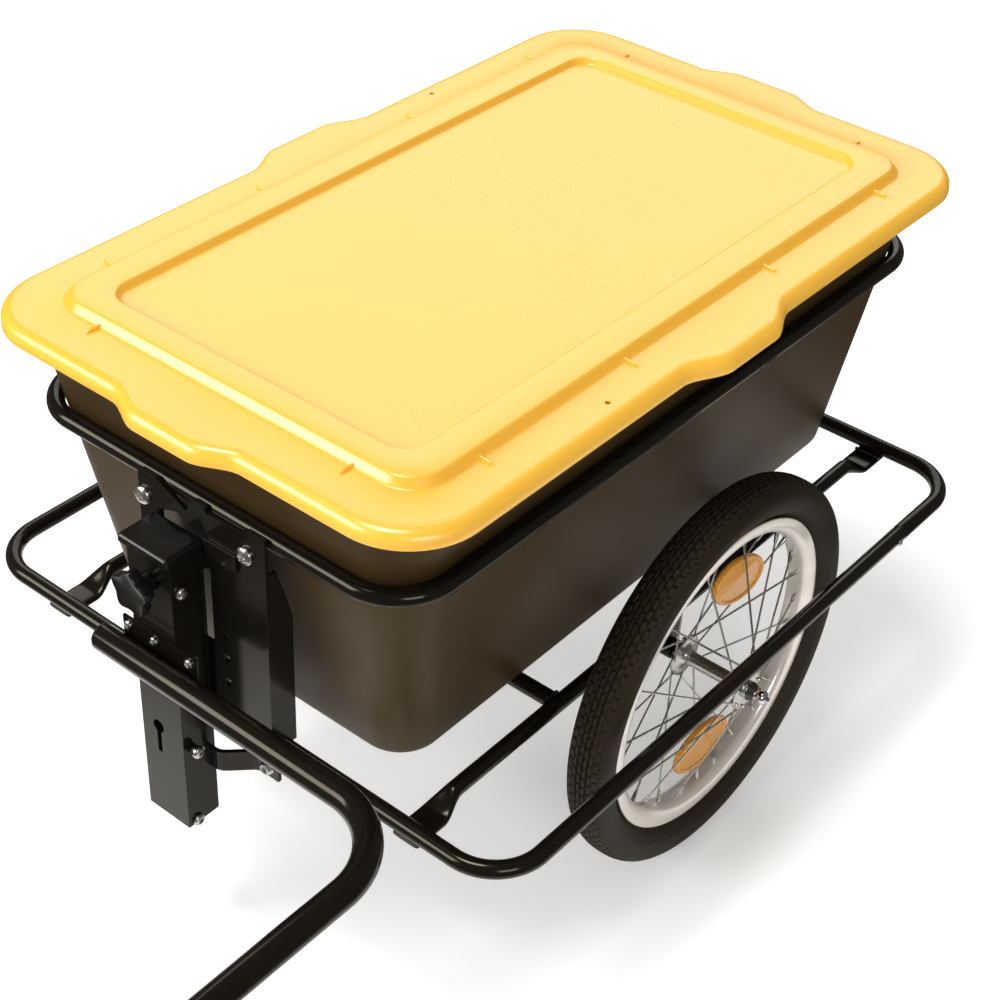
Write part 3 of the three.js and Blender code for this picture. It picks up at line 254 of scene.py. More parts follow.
class Surface:
    """Points and faces of one piece, gathered from grids."""

    def __init__(self):
        self.points, self.faces, self.count = [], [], 0

    def add(self, grid, wrap_rows=False, wrap_columns=True, caps=True):
        """A grid of points, rows by columns; open ends of the rows are closed by one flat face each."""
        rows, columns, _ = grid.shape
        self.points.append(grid.reshape(-1, 3))
        self.faces += (grid_faces(rows, columns, wrap_rows, wrap_columns) + self.count).tolist()
        if caps and not wrap_rows:
            ring = np.arange(columns) + self.count
            self.faces += [ring[::-1].tolist(), (ring + (rows - 1) * columns).tolist()]
        self.count += rows * columns
        return self

    def make(self, name, sharp=SHARP):
        """The mesh object, its faces turned outwards; edges sharper than an angle in degrees stay sharp."""
        mesh = bpy.data.meshes.new(name)
        mesh.from_pydata(np.concatenate(self.points), [], self.faces)
        mesh.validate()
        shape = bmesh.new()
        shape.from_mesh(mesh)
        if shape.calc_volume(signed=True) < 0:
            mesh.flip_normals()
        shape.free()
        mesh.polygons.foreach_set("use_smooth", np.ones(len(mesh.polygons), dtype=bool))
        mesh.set_sharp_from_angle(angle=math.radians(sharp))
        piece = bpy.data.objects.new(name, mesh)
        bpy.context.scene.collection.objects.link(piece)
        return piece


def finish_piece(piece, finish, body, *nodes):
    """Gives a new piece its finish and its body, and hides the nodes that it stands for."""
    piece.data.materials.append(materials()[finish])
    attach(piece, body)
    if nodes:
        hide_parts(*nodes)


def build(name, grid, finish, body, *nodes, sharp=SHARP, wrap=False):
    """Makes and finishes a piece from one grid; wrap joins its last row to its first."""
    finish_piece(Surface().add(grid, wrap_rows=wrap).make(name, sharp), finish, body, *nodes)


def soften(finish, width, *nodes, segments=2):
    """Keeps CAD nodes, rounds their hard edges by a width and gives them a finish."""
    for node in nodes:
        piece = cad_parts[node]
        weld = piece.modifiers.new("weld", "WELD")
        weld.merge_threshold = MERGE_DISTANCE
        bevel = piece.modifiers.new("bevel", "BEVEL")
        bevel.width = width
        bevel.segments = segments
        bevel.limit_method = "ANGLE"
        bevel.angle_limit = BEVEL_ANGLE
        bevel.use_clamp_overlap = True
        bevel.harden_normals = False
        piece.data.materials.clear()
        piece.data.materials.append(materials()[finish])


def rounded_path(corners, radius, closed=False):
    """Places and headings along straight runs joined by arcs of one radius.

    Each arc is its centre plus the radius times the unit vector that turns from the
    run coming in to the run going out.
    """
    corners = np.asarray(corners, dtype=float)
    runs = unit(np.roll(corners, -1, 0) - corners)
    places, headings = [], []
    for i in range(len(corners)) if closed else range(1, len(corners) - 1):
        run_in, run_out = runs[i - 1], runs[i]
        turn = math.atan2(run_in[0] * run_out[1] - run_in[1] * run_out[0], run_in @ run_out)
        arm = math.copysign(radius, turn)
        start = corners[i] - run_in * radius * math.tan(abs(turn) / 2)
        centre = start + np.array([-run_in[1], run_in[0]]) * arm
        angles = np.linspace(0, turn, max(3, int(abs(turn) * radius / PATH_STEP)))
        c, s = np.cos(angles), np.sin(angles)
        heading = np.stack([run_in[0] * c - run_in[1] * s, run_in[0] * s + run_in[1] * c], -1)
        places.append(centre + np.stack([heading[:, 1], -heading[:, 0]], -1) * arm)
        headings.append(heading)
    if not closed:
        places = [corners[:1], *places, corners[-1:]]
        headings = [runs[:1], *headings, runs[-2:-1]]
    return np.concatenate(places), np.concatenate(headings)


def level_tube(path, height, radius, sides=32):
    """A round section carried along a level path of places and headings.

    A point is the place, plus the radius times the cosine across the path and the sine upwards.
    """
    places, headings = path
    angle = turns(sides)
    across = np.stack([headings[:, 1], -headings[:, 0]], -1)
    flat = places[:, None, :] + across[:, None, :] * (radius * np.cos(angle))[None, :, None]
    up = np.broadcast_to(height + radius * np.sin(angle), flat.shape[:2])
    return np.concatenate([flat, up[..., None]], -1)


def capped(grid, radius, inset):
    """Adds a small rounded edge at both ends of a tube by drawing its end rings in."""
    angle = quarter(4)[:, None, None]

    def end(ring, inner):
        centre, outward = ring.mean(0), unit((ring - inner).mean(0))
        scale = 1 - inset / radius * (1 - np.cos(angle))
        return centre + (ring - centre) * scale + outward * inset * (np.sin(angle) - 1)

    return np.concatenate([end(grid[0], grid[1])[::-1], grid[1:-1], end(grid[-1], grid[-2])])


def turned(profile, segments):
    """A profile of (radius, place along X) carried round the X axis as cosine and sine."""
    return round_x(profile[:, 0], profile[:, 1], turns(segments)[:, None])


def round_x(radius, along, angle):
    """Points at a radius and angle round the X axis."""
    return np.stack(np.broadcast_arrays(along, radius * np.cos(angle), radius * np.sin(angle)), -1)


def spline(points, samples):
    """A smooth line through points: a Catmull-Rom cubic between each pair, sampled evenly."""
    points = np.asarray(points, dtype=float)
    padded = np.concatenate([2 * points[:1] - points[1:2], points, 2 * points[-1:] - points[-2:-1]])
    spans = len(padded) - 3
    t = np.linspace(0, spans, samples)
    k = np.minimum(t.astype(int), spans - 1)
    f = (t - k)[:, None]
    a, b, c, d = padded[k], padded[k + 1], padded[k + 2], padded[k + 3]
    return 0.5 * (2 * b + (c - a) * f + (2 * a - 5 * b + 4 * c - d) * f**2 + (3 * b - a - 3 * c + d) * f**3)


def rings(centres, heading, radii, sides, helper, spare):
    """Round rings square to a heading: two unit vectors times the radius's cosine and sine.

    The first is square to a helper axis, or to a spare one where the heading runs along the helper.
    """
    along = np.abs(heading @ helper)[..., None] > ALONG
    side = unit(np.cross(heading, np.where(along, spare, helper)))[..., None, :]
    other = np.cross(heading[..., None, :], side)
    angle = turns(sides)[:, None]
    spin = side * np.cos(angle) + other * np.sin(angle)
    return centres[..., None, :] + spin * np.asarray(radii)[..., None, None]


def rods(starts, ends, radii, sides=8):
    """Straight round rods, all at once; radii gives one for each of the stations that share the length."""
    shares = np.linspace(0, 1, len(radii))[:, None]
    axis = (ends - starts)[:, None, :]
    return rings(starts[:, None, :] + axis * shares, unit(axis), radii, sides, X_AXIS, Y_AXIS)


def stand(grid, place, turn):
    """A shape made along +X, turned to point along another axis and moved to its place."""
    return grid @ np.array(turn, dtype=float).T + np.asarray(place)


def drill(piece, grid, sharp):
    """Cuts the closed shape of a grid out of a piece."""
    cutter = Surface().add(grid.transpose(1, 0, 2)).make("cutter")
    cut = piece.modifiers.new("cut", "BOOLEAN")
    cut.object = cutter
    cut.solver = "EXACT"
    cut_mesh = bpy.data.meshes.new_from_object(piece.evaluated_get(bpy.context.evaluated_depsgraph_get()))
    cut_mesh.name = piece.name
    piece.modifiers.clear()
    piece.data = cut_mesh
    cut_mesh.set_sharp_from_angle(angle=math.radians(sharp))
    bpy.data.objects.remove(cutter)


def place_wheel(grid, side):
    """A shape about the axle, outward along +X, set in place; the right side is half a turn about Z."""
    return grid * np.array([side, side, 1.0]) + np.array([0.0, AXLE_Y, AXLE_Z])


# Finishes
WHITE = (1.0, 1.0, 1.0)
WARM = (1.0, 0.88, 0.68)
BROWN = (1.0, 0.76, 0.42)
HALF = 0.5
MOTTLE_INPUTS = {"Patch Scale": 12.0, "Speck Scale": 900.0, "Patch Amount": 0.3, "Speck Amount": 0.3}
PATCH_DETAIL, SPECK_DETAIL = 4.0, 2.0
# Reflector lens: light and dark paint a highlight in the middle of each prism and shade towards its edges
LENS = {
    "prisms": 260.0, "unevenness": 0.12, "relief": 1.2 * MM, "light": 1.1, "dark": 0.62,
    "roughness": 0.22, "coat": 0.8, "coat_roughness": 0.05,
}
STEEL, BRIGHT, ALLOY = (0.62, 0.61, 0.58), (0.80, 0.80, 0.81), (0.95, 0.87, 0.80)
DARK, SOFT = (0.10, 0.098, 0.095), (0.004, 0.004, 0.004)
# Each finish: colour (None for a setting), two shades of it, roughness and its spread, mottle, other inputs
FINISHES = {
    "paint": (
        None, (0.8, 1.3), 0.15, 0.1, (9, 350, 0.5, 0.25),
        {"bump": 0.05 * MM, "gloss": 0.32, "tint": WARM},
    ),
    "tub": (
        None, (0.85, 1.25), 0.4, 0.25, (7, 1400, 0.6, 0.5),
        {"bump": 0.12 * MM, "gloss": 0.32, "tint": BROWN},
    ),
    "lid": (None, (0.97, 1.03), None, 0.12, (6, 1300, 0.5, 0.35), {"bump": 0.08 * MM, "gloss": 1.0}),
    "zinc": (STEEL, (0.85, 1.15), 0.26, 0.2, (60, 900, 0.6, 0.4), {"metallic": 1.0, "bump": 0.04 * MM}),
    "chrome": (BRIGHT, (0.95, 1.05), 0.08, 0.08, (40, 600, 0.4, 0.2), {"metallic": 1.0}),
    "alloy": (ALLOY, (0.9, 1.08), 0.2, 0.16, (25, 700, 0.5, 0.3), {"metallic": 0.45, "bump": 0.03 * MM}),
    "dark": (DARK, (0.8, 1.3), 0.34, 0.2, (50, 800, 0.6, 0.4), {"metallic": 0.9}),
    "rubber": (None, (0.8, 1.6), 0.66, 0.3, (16, 1100, 0.8, 0.5), {"bump": 0.2 * MM, "tint": WARM}),
    "soft": (SOFT, (0.8, 1.5), 0.24, 0.14, (30, 1500, 0.5, 0.3), {"bump": 0.06 * MM, "gloss": 0.4}),
}


def feed(tree, node, inputs):
    """Sets each input of a node to a value, or links it to an output of another node."""
    for key, given in inputs.items():
        if isinstance(given, bpy.types.NodeSocket):
            tree.links.new(given, node.inputs[key])
        else:
            node.inputs[key].default_value = given


def add_node(tree, kind, inputs=(), **traits):
    """Adds a shader node with its settings and its inputs."""
    node = tree.nodes.new("ShaderNode" + kind)
    for name, value in traits.items():
        setattr(node, name, value)
    feed(tree, node, dict(inputs))
    return node


def calculate(tree, operation, *values, clamp=False):
    """The output of a maths node."""
    return add_node(tree, "Math", enumerate(values), operation=operation, use_clamp=clamp).outputs[0]


def mixed(tree, factor, first, second):
    """The output of a mix of two colours or of two numbers."""
    numbers = isinstance(second, float)
    if not numbers:
        first, second = (*first, 1.0), (*second, 1.0)
    inputs = {"A": first, "B": second, "Factor": factor}
    return add_node(tree, "Mix", inputs, data_type="FLOAT" if numbers else "RGBA").outputs["Result"]


def plain_material(name):
    """A new material, its tree and its shader."""
    material = bpy.data.materials.new(name)
    material.use_nodes = True
    return material, material.node_tree, material.node_tree.nodes["Principled BSDF"]


def mottle_group():
    """Soft patches, fine specks and small bumps: a coarse and a fine noise of object coordinates."""
    group = bpy.data.node_groups.new("trailer_mottle", "ShaderNodeTree")
    face = group.interface
    for name, value in MOTTLE_INPUTS.items():
        socket = face.new_socket(name=name, in_out="INPUT", socket_type="NodeSocketFloat")
        socket.default_value = value
    for name in ("Patches", "Specks", "Height"):
        face.new_socket(name=name, in_out="OUTPUT", socket_type="NodeSocketFloat")
    given = group.nodes.new("NodeGroupInput")
    put = group.nodes.new("NodeGroupOutput")
    place = add_node(group, "TexCoord").outputs["Object"]

    def layer(kind, detail):
        """A noise less its middle value, times its amount"""
        inputs = {"Vector": place, "Scale": given.outputs[kind + " Scale"], "Detail": detail}
        noise = add_node(group, "TexNoise", inputs).outputs["Fac"]
        centred = calculate(group, "SUBTRACT", noise, HALF)
        return calculate(group, "MULTIPLY", centred, given.outputs[kind + " Amount"])

    patches, specks = layer("Patch", PATCH_DETAIL), layer("Speck", SPECK_DETAIL)
    height = calculate(group, "ADD", patches, specks)
    feed(group, put, {"Patches": patches, "Specks": specks, "Height": height})
    return group


def finish_material(
    name, colours, roughness, spread, mottle, metallic=0.0, bump=0.0, gloss=0.5, tint=WHITE,
):
    """A material whose colour runs between two values over its patches, with rough specks and fine bumps.

    mottle is the patch scale, speck scale, patch amount and speck amount; tint colours what it reflects.
    """
    material, tree, shader = plain_material(name)
    group = add_node(tree, "Group", node_tree=bpy.data.node_groups.get("trailer_mottle") or mottle_group())
    for socket, value in zip(group.inputs, mottle):
        socket.default_value = value
    height = group.outputs["Height"]
    patches = calculate(tree, "ADD", group.outputs["Patches"], HALF, clamp=True)
    feed(tree, shader, {
        "Base Color": mixed(tree, patches, *colours),
        "Roughness": calculate(tree, "MULTIPLY_ADD", height, spread, roughness, clamp=True),
        "Metallic": metallic,
        "Specular Tint": (*tint, 1.0),
        "Specular IOR Level": gloss,
    })
    if bump:
        relief = add_node(tree, "Bump", {"Strength": 1.0, "Distance": bump, "Height": height})
        feed(tree, shader, {"Normal": relief.outputs["Normal"]})
    return material


def shade(value, factor):
    return tuple(min(1.0, channel * factor) for channel in value)


def lens_material(name, base):
    """Clear coloured plastic over small bumps, the distance to the nearest point of a near-even lattice;
    its colour has a painted highlight in each prism's middle and painted shade at its edges.
    """
    material, tree, shader = plain_material(name)
    place = add_node(tree, "TexCoord").outputs["Object"]
    lattice = {"Vector": place, "Scale": LENS["prisms"], "Randomness": LENS["unevenness"]}
    prisms = add_node(tree, "TexVoronoi", lattice, feature="F1").outputs["Distance"]
    relief = add_node(tree, "Bump", {"Distance": LENS["relief"], "Height": prisms})
    feed(tree, shader, {
        # Painted highlight in the middle of each prism, painted shade towards its edges
        "Base Color": mixed(tree, prisms, shade(base, LENS["light"]), shade(base, LENS["dark"])),
        "Normal": relief.outputs["Normal"],
        "Roughness": LENS["roughness"],
        "Coat Weight": LENS["coat"],
        "Coat Roughness": LENS["coat_roughness"],
    })
    return material


def materials():
    """All finishes of the trailer, made once and then looked up by name."""
    made = {
        m.name.removeprefix("trailer_"): m for m in bpy.data.materials if m.name.startswith("trailer_")
    }
    if made:
        return made
    chosen = settings("colours")
    given = {"paint": chosen.paint, "tub": chosen.tub, "lid": chosen.lid, "rubber": chosen.tyre}
    for name, (colour, shades, roughness, spread, mottle, others) in FINISHES.items():
        base = tuple(given.get(name, colour))
        roughness = chosen.lid_roughness if name == "lid" else roughness
        colours = [shade(base, factor) for factor in shades]
        made[name] = finish_material("trailer_" + name, colours, roughness, spread, mottle, **others)
    made["amber"] = lens_material("trailer_amber", tuple(chosen.amber))
    return made


# Frame
END_ROUNDING = 0.6 * MM
JOINT_GAP = 0.15 * MM
STRAIGHT_SAMPLES = 60
# The rail's ends: length of the tip's rounding, and how much the tip narrows across and upwards
RAIL_TIP, TIP_ACROSS, TIP_UPWARDS = 2 * MM, 0.08, 0.3
# Weld beads: share and length of the ripple, distance to the faces, and how far a bead bends round a rail
RIPPLE, RIPPLE_LENGTH, BEAD_GAP, BEAD_LIFT, BEAD_BEND = 0.22, 1.6 * MM, 0.6 * MM, 0.2 * MM, 0.6


def lower_loop(end, joint):
    """One half of the lower loop, bent round one end of the trailer from joint to joint."""
    tubes = settings("tubes")
    x, _, corner = tubes.lower
    path = rounded_path([(x, joint), (x, end), (-x, end), (-x, joint)], corner)
    return capped(level_tube(path, FRAME_Z, tubes.loop_tube / 2), tubes.loop_tube / 2, END_ROUNDING)


def upper_loop():
    tubes = settings("tubes")
    x, y, corner = tubes.upper
    corners = [(x, BOX_Y - y), (-x, BOX_Y - y), (-x, BOX_Y + y), (x, BOX_Y + y)]
    path = rounded_path(corners, corner, closed=True)
    return level_tube(path, float(middle("rim_loop")[2]), tubes.loop_tube / 2)


def cross_member(node):
    _, y, z = middle(node)
    places = np.linspace((low(node)[0], y), (high(node)[0], y), STRAIGHT_SAMPLES)
    headings = np.tile([1.0, 0.0], (STRAIGHT_SAMPLES, 1))
    return level_tube((places, headings), z, settings("tubes").loop_tube / 2)


def rail_grid(side):
    """A section that turns from round to a flat oval, and drops, over the rail's tapers.

    The section is a superellipse whose half axes, power and drop follow smooth steps along the rail.
    """
    tubes = settings("tubes")
    width, thickness, length = tubes.rail_flat
    end = tubes.lower[1] + tubes.loop_tube / 4
    drop = tubes.loop_tube / 2 + CLEARANCE + thickness / 2
    tip_rows = np.linspace(0, RAIL_TIP, 3)
    inward = np.append(tip_rows, np.linspace(2 * RAIL_TIP, length + tubes.rail_taper, 40))[:, None]
    along = np.concatenate([inward - end, (end - inward)[::-1]])
    inward = np.concatenate([inward, inward[::-1]])
    flat = 1 - smoothstep((inward - length) / tubes.rail_taper)
    tip = 1 - np.sqrt(np.clip(inward / RAIL_TIP, 0, 1))
    power = 1 - flat / 2

    def reach(flat_size, narrowing, turn):
        half = tubes.rail_tube / 2 + (flat_size - tubes.rail_tube) / 2 * flat
        return half * (1 - narrowing * tip) * np.sign(turn) * np.abs(turn) ** power

    angle = turns(32) + np.pi / 32
    x = reach(width, TIP_ACROSS, np.cos(angle))
    z = reach(thickness, TIP_UPWARDS, np.sin(angle)) - drop * flat
    return np.stack(np.broadcast_arrays(side * tubes.rail_place + x, AXLE_Y + along, FRAME_Z + z), -1)


def bead(centres):
    """A weld bead along a line of centres, its radius rippling as a sine of the distance."""
    along = np.cumsum(np.linalg.norm(np.diff(centres, axis=0, prepend=centres[:1]), axis=1))
    swell = settings("tubes").weld_radius * (1 + RIPPLE * np.sin(along * 2 * np.pi / RIPPLE_LENGTH))
    return rings(centres, unit(np.gradient(centres, axis=0)), swell, 8, Z_AXIS, X_AXIS)


class TRAILER_OT_frame(bpy.types.Operator):
    """Makes the two loops, the rails, the cross members and their welds"""

    bl_idname = "trailer.frame"
    bl_label = "Frame Tubes"

    def execute(self, context):
        tubes = settings("tubes")
        reach, joint = tubes.lower[1], AXLE_Y + tubes.lower_joint
        grids = {
            "lower_loop_front": lower_loop(AXLE_Y - reach, joint - JOINT_GAP),
            "lower_loop_rear": lower_loop(AXLE_Y + reach, joint + JOINT_GAP),
            "rim_loop": upper_loop(),
        }
        grids.update({f"rail_{label}": rail_grid(side) for label, side in SIDES})
        grids.update({node: cross_member(node) for node in CROSS_MEMBERS})
        for node, grid in grids.items():
            build(node + "_tube", grid, "paint", "frame", node, wrap=node == "rim_loop")
        self.welds()
        return {"FINISHED"}

    def welds(self):
        """Beads where the cross members meet the rails, and at the rails' ends under the lower loop"""
        tubes = settings("tubes")
        tube, rail = tubes.loop_tube / 2, tubes.rail_tube / 2
        beads = Surface()
        angle = np.linspace(0, 2 * np.pi, 160)
        lift = np.minimum(np.abs(tube * np.sin(angle)), rail - MM / 2)
        reach = tubes.rail_place - rail - BEAD_GAP + (rail - np.sqrt(rail**2 - lift**2)) * BEAD_BEND
        for node in CROSS_MEMBERS:
            _, y, z = middle(node)
            for side in (-1, 1):
                ring = np.stack([side * reach, y + tube * np.cos(angle), z + tube * np.sin(angle)], -1)
                beads.add(bead(ring))
        for side in (-1, 1):
            for end in (-1, 1):
                x = side * tubes.rail_place + np.linspace(-0.5, 0.5, STRAIGHT_SAMPLES) * tubes.rail_flat[0]
                y = AXLE_Y + end * (tubes.lower[1] - tube - MM / 2)
                beads.add(bead(np.stack(np.broadcast_arrays(x, y, FRAME_Z - tube + BEAD_LIFT), -1)))
        finish_piece(beads.make("weld_beads", SOFT_SHARP), "paint", "frame")


# Soft edges of the cones and valves, the buttons, the plug, the coupling fork and its pin
CONE_EDGE, BUTTON_EDGE, PLUG_EDGE, FORK_EDGE, PIN_EDGE = 0.5 * MM, 0.3 * MM, 0.8 * MM, 1.2 * MM, 0.7 * MM
# Other pieces that keep their CAD shape: finish, width and segments of the soft edges, and the nodes
SOFTENED = (
    ("paint", 0.7 * MM, 2, "hitch_bracket", "rear_bracket", "drawbar_saddle", "stay"),
    ("paint", 0.7 * MM, 2, "socket_left", "socket_right"),
    ("paint", 2.2 * MM, 4, "post"),
    ("soft", 1.6 * MM, 3, "post_cap"),
    ("zinc", 0.5 * MM, 2, "bracket_nut_left", "bracket_nut_right", "stay_bolt"),
    ("zinc", 0.5 * MM, 2, "rivet_left", "rivet_right"),
    ("dark", 0.4 * MM, 2, "post_standoff"),
)
# Screws: name, places, direction of the head, height of the head and radius of the shank
SCREWS = (
    ("bracket_screw_", ("left", "right"), FORWARDS, 5 * MM, 4 * MM),
    ("post_screw_", ("top", "middle", "bottom"), LEFTWARDS, 4.5 * MM, 3 * MM),
    ("saddle_screw_", ("left", "middle", "right"), FORWARDS, 3 * MM, 2.5 * MM),
)
# A screw's head: rims of the head and its dome and floor of the hexagon as shares of the height; half width
# and slope of the hexagon and the innermost ring as shares of the radius
HEAD_RIM, DOME_RIM, HEXAGON_FLOOR = 0.12, 0.25, 0.3
HEXAGON, HEXAGON_SLOPE, HEAD_MIDDLE = 0.42, 0.05, 0.01


def screw_grid(head, height, shank, reach):
    """A screw along +X whose head starts at 0: shank, domed head and a sunk hexagon.

    The dome's height is a share of the head's height plus the rest times the root of one less the squared
    share of its radius. The hexagon sinks it by a smooth step of the distance to its flats.
    """
    angle = turns(96)
    share_out = np.linspace(1, HEAD_MIDDLE, 44)[:, None]
    dome = height * (DOME_RIM + (1 - DOME_RIM) * np.sqrt(1 - share_out**2))
    flats = np.cos(angle % (np.pi / 3) - np.pi / 6)
    sunk = smoothstep((HEXAGON - share_out * flats) / HEXAGON_SLOPE)
    top = dome - (dome - HEXAGON_FLOOR * height) * sunk
    stem = np.array([
        (0.1 * shank, -reach), (shank - MM / 2, -reach), (shank, -reach + MM / 2), (shank, 0.0),
        (head, 0.0), (head, HEAD_RIM * height),
    ])
    radius = np.concatenate([stem[:, :1], head * share_out])
    along = np.concatenate([np.broadcast_to(stem[:, 1:], (len(stem), 96)), top])
    return round_x(radius, along, angle)


class TRAILER_OT_fittings(bpy.types.Operator):
    """Rounds the edges of the brackets, post, stay and sockets, and makes the screws"""

    bl_idname = "trailer.fittings"
    bl_label = "Brackets And Screws"

    def execute(self, context):
        for finish, width, segments, *nodes in SOFTENED:
            soften(finish, width, *nodes, segments=segments)
        for name, places, turn, height, shank in SCREWS:
            for place in places:
                self.screw(name + place, turn, height, shank)
        return {"FINISHED"}

    def screw(self, node, turn, height, shank):
        """A domed screw in the place of its node; the head's size and the length come from its box"""
        first, last, place = low(node), high(node), middle(node)
        head = float(last[2] - first[2]) / 2
        axis = 1 if turn is FORWARDS else 0
        place[axis] = first[1] + height if turn is FORWARDS else last[0] - height
        grid = screw_grid(head, height, shank, float(last[axis] - first[axis]) - height)
        build(node + "_domed", stand(grid, place, turn), "zinc", "frame", node, sharp=CRISP_SHARP)


# Tub and lid
# The part of a lobe's half length over which it swells, and the gap between the tub and the upper loop
LOBE_SLOPE, SEAT_GAP = 0.6, 0.35 * MM
SMALLEST_CORNER = {"tub": 6 * MM, "lid": 4 * MM}
# Rows of the tub's floor inside the fillet, in fillets
FLOOR_ROWS = (6, 3, 1.6)
# The brim: height and width of its bend, gap to the lid's wall, and the rows at its outer edge
BRIM_BEND, BRIM_RUN, BRIM_GAP, EDGE_ROWS = 5 * MM, 4 * MM, 0.6 * MM, (7, 8)
# Rows of the lid's panel inside its slope, and of its brim inside the rounded edge
PANEL_ROWS, BRIM_ROW = (60 * MM, 20 * MM, 9 * MM), 6 * MM
# The skirt's foot: how high its small chamfer is, and how wide
FOOT_HEIGHT, FOOT_WIDTH = 0.8 * MM, 0.6 * MM
DRILL_REACH = 20 * MM
# Ribs: half length, half width, height, and what is left of the squared swell at their ends
RIB_HALF, RIB_WIDE, RIB_TALL, RIB_END = 11 * MM, 1.2 * MM, 3.2 * MM, 0.02
# Places of the ribs as shares of the ridge's half length and half width
SIDE_RIBS, END_RIBS = (-0.79, -0.28, 0.29, 0.81), (-0.68, 0.68)


def outline(*sizes):
    """A rounded rectangle, one ring for each row of half widths, half lengths, corner radii and two lobes.

    Along each side the middle swells outwards by a smooth step of the distance from the lobe's end.
    """
    box = settings("box")
    width, span, corner, end_lobe, side_lobe = (np.atleast_1d(size)[:, None] for size in sizes)
    shares = np.linspace(-1, 1, 49)
    swell = smoothstep((1 - np.abs(shares)) / LOBE_SLOPE)
    arc = quarter(15)
    ring = []
    for side in range(4):
        if side % 2 == 0:
            half, across, lobe, lobe_half = span, width, side_lobe, box.side_lobe[1]
        else:
            half, across, lobe, lobe_half = width, span, end_lobe, box.end_lobe[1]
        run = np.broadcast_to(lobe_half * shares, (len(width), len(shares)))
        u = np.concatenate([across + lobe * swell, across - corner + corner * np.cos(arc)], 1)
        v = np.concatenate([run, half - corner + corner * np.sin(arc)], 1)
        c, s = math.cos(side * math.pi / 2), math.sin(side * math.pi / 2)
        ring.append(np.stack([c * u - s * v, s * u + c * v + BOX_Y], -1))
    return np.concatenate(ring, 1)


def stacked(sides, heights):
    heights = np.broadcast_to(np.asarray(heights)[:, None, None], (*sides.shape[:2], 1))
    return np.concatenate([sides, heights], -1)


def tub_walls(rise):
    """Half width, half length and corner radius of the tub's outer face at a rise.

    They follow a straight line from the floor to the neck, which passes just inside the upper loop.
    """
    box, tubes = settings("box"), settings("tubes")
    floor = tubes.loop_tube / 2 + CLEARANCE
    seat = tubes.loop_tube / 2 + SEAT_GAP
    step = (rise - floor) / (float(middle("rim_loop")[2]) - FRAME_Z - floor)
    neck = (rise - floor) / (box.neck - floor)
    width, span, corner = box.bottom
    return (
        width + (tubes.upper[0] - seat - width) * step,
        span + (tubes.upper[1] - seat - span) * step,
        corner + (box.neck_corner - corner) * neck,
    )


class TRAILER_OT_tub(bpy.types.Operator):
    """Makes the tapered tub with its rounded floor and turned-out brim"""

    bl_idname = "trailer.tub"
    bl_label = "Tub"

    def face(self, inset, base):
        """Rows from the middle of the floor up one face; inset is its distance inside the outer one"""
        box = settings("box")
        bend = quarter(9)
        wall = np.linspace(base + box.fillet, box.neck, 30)[1:]
        rise = np.concatenate([[base] * len(FLOOR_ROWS), base + box.fillet * (1 - np.cos(bend)), wall])
        pull = inset + box.fillet * np.concatenate([FLOOR_ROWS, 1 - np.sin(bend), np.zeros(len(wall))])
        width, span, corner = (size - pull for size in tub_walls(rise))
        return outline(width, span, np.maximum(corner, SMALLEST_CORNER["tub"]), 0, 0), rise

    def brim(self):
        """Rows that bend outwards from the neck, run out under the lid's edge and come back on top"""
        box = settings("box")
        turn = quarter(7)
        lip = box.neck + box.brim
        rise = np.concatenate([lip - BRIM_BEND * (1 - np.sin(turn)), [lip, lip + box.wall, lip + box.wall]])
        grow = np.concatenate([box.wall / 2 + BRIM_RUN * (1 - np.cos(turn)), [0, 0, -box.wall / 2]])
        edge = np.isin(np.arange(len(rise)), EDGE_ROWS)
        rim = np.array(box.lid) - box.wall - BRIM_GAP
        sizes = [np.where(edge, out, neck + grow) for out, neck in zip(rim, tub_walls(box.neck))]
        return outline(*sizes, 0, 0), rise

    def execute(self, context):
        wall = settings("box").wall
        floor = settings("tubes").loop_tube / 2 + CLEARANCE
        outer, outer_rise = self.face(0.0, floor)
        brim, brim_rise = self.brim()
        inner, inner_rise = self.face(wall, floor + wall)
        sides = np.concatenate([outer, brim, inner[::-1]])
        heights = FRAME_Z + np.concatenate([outer_rise, brim_rise, inner_rise[::-1]])
        build("tub_shell", stacked(sides, heights), "tub", "frame", "tub", sharp=MOULDED_SHARP)
        return {"FINISHED"}


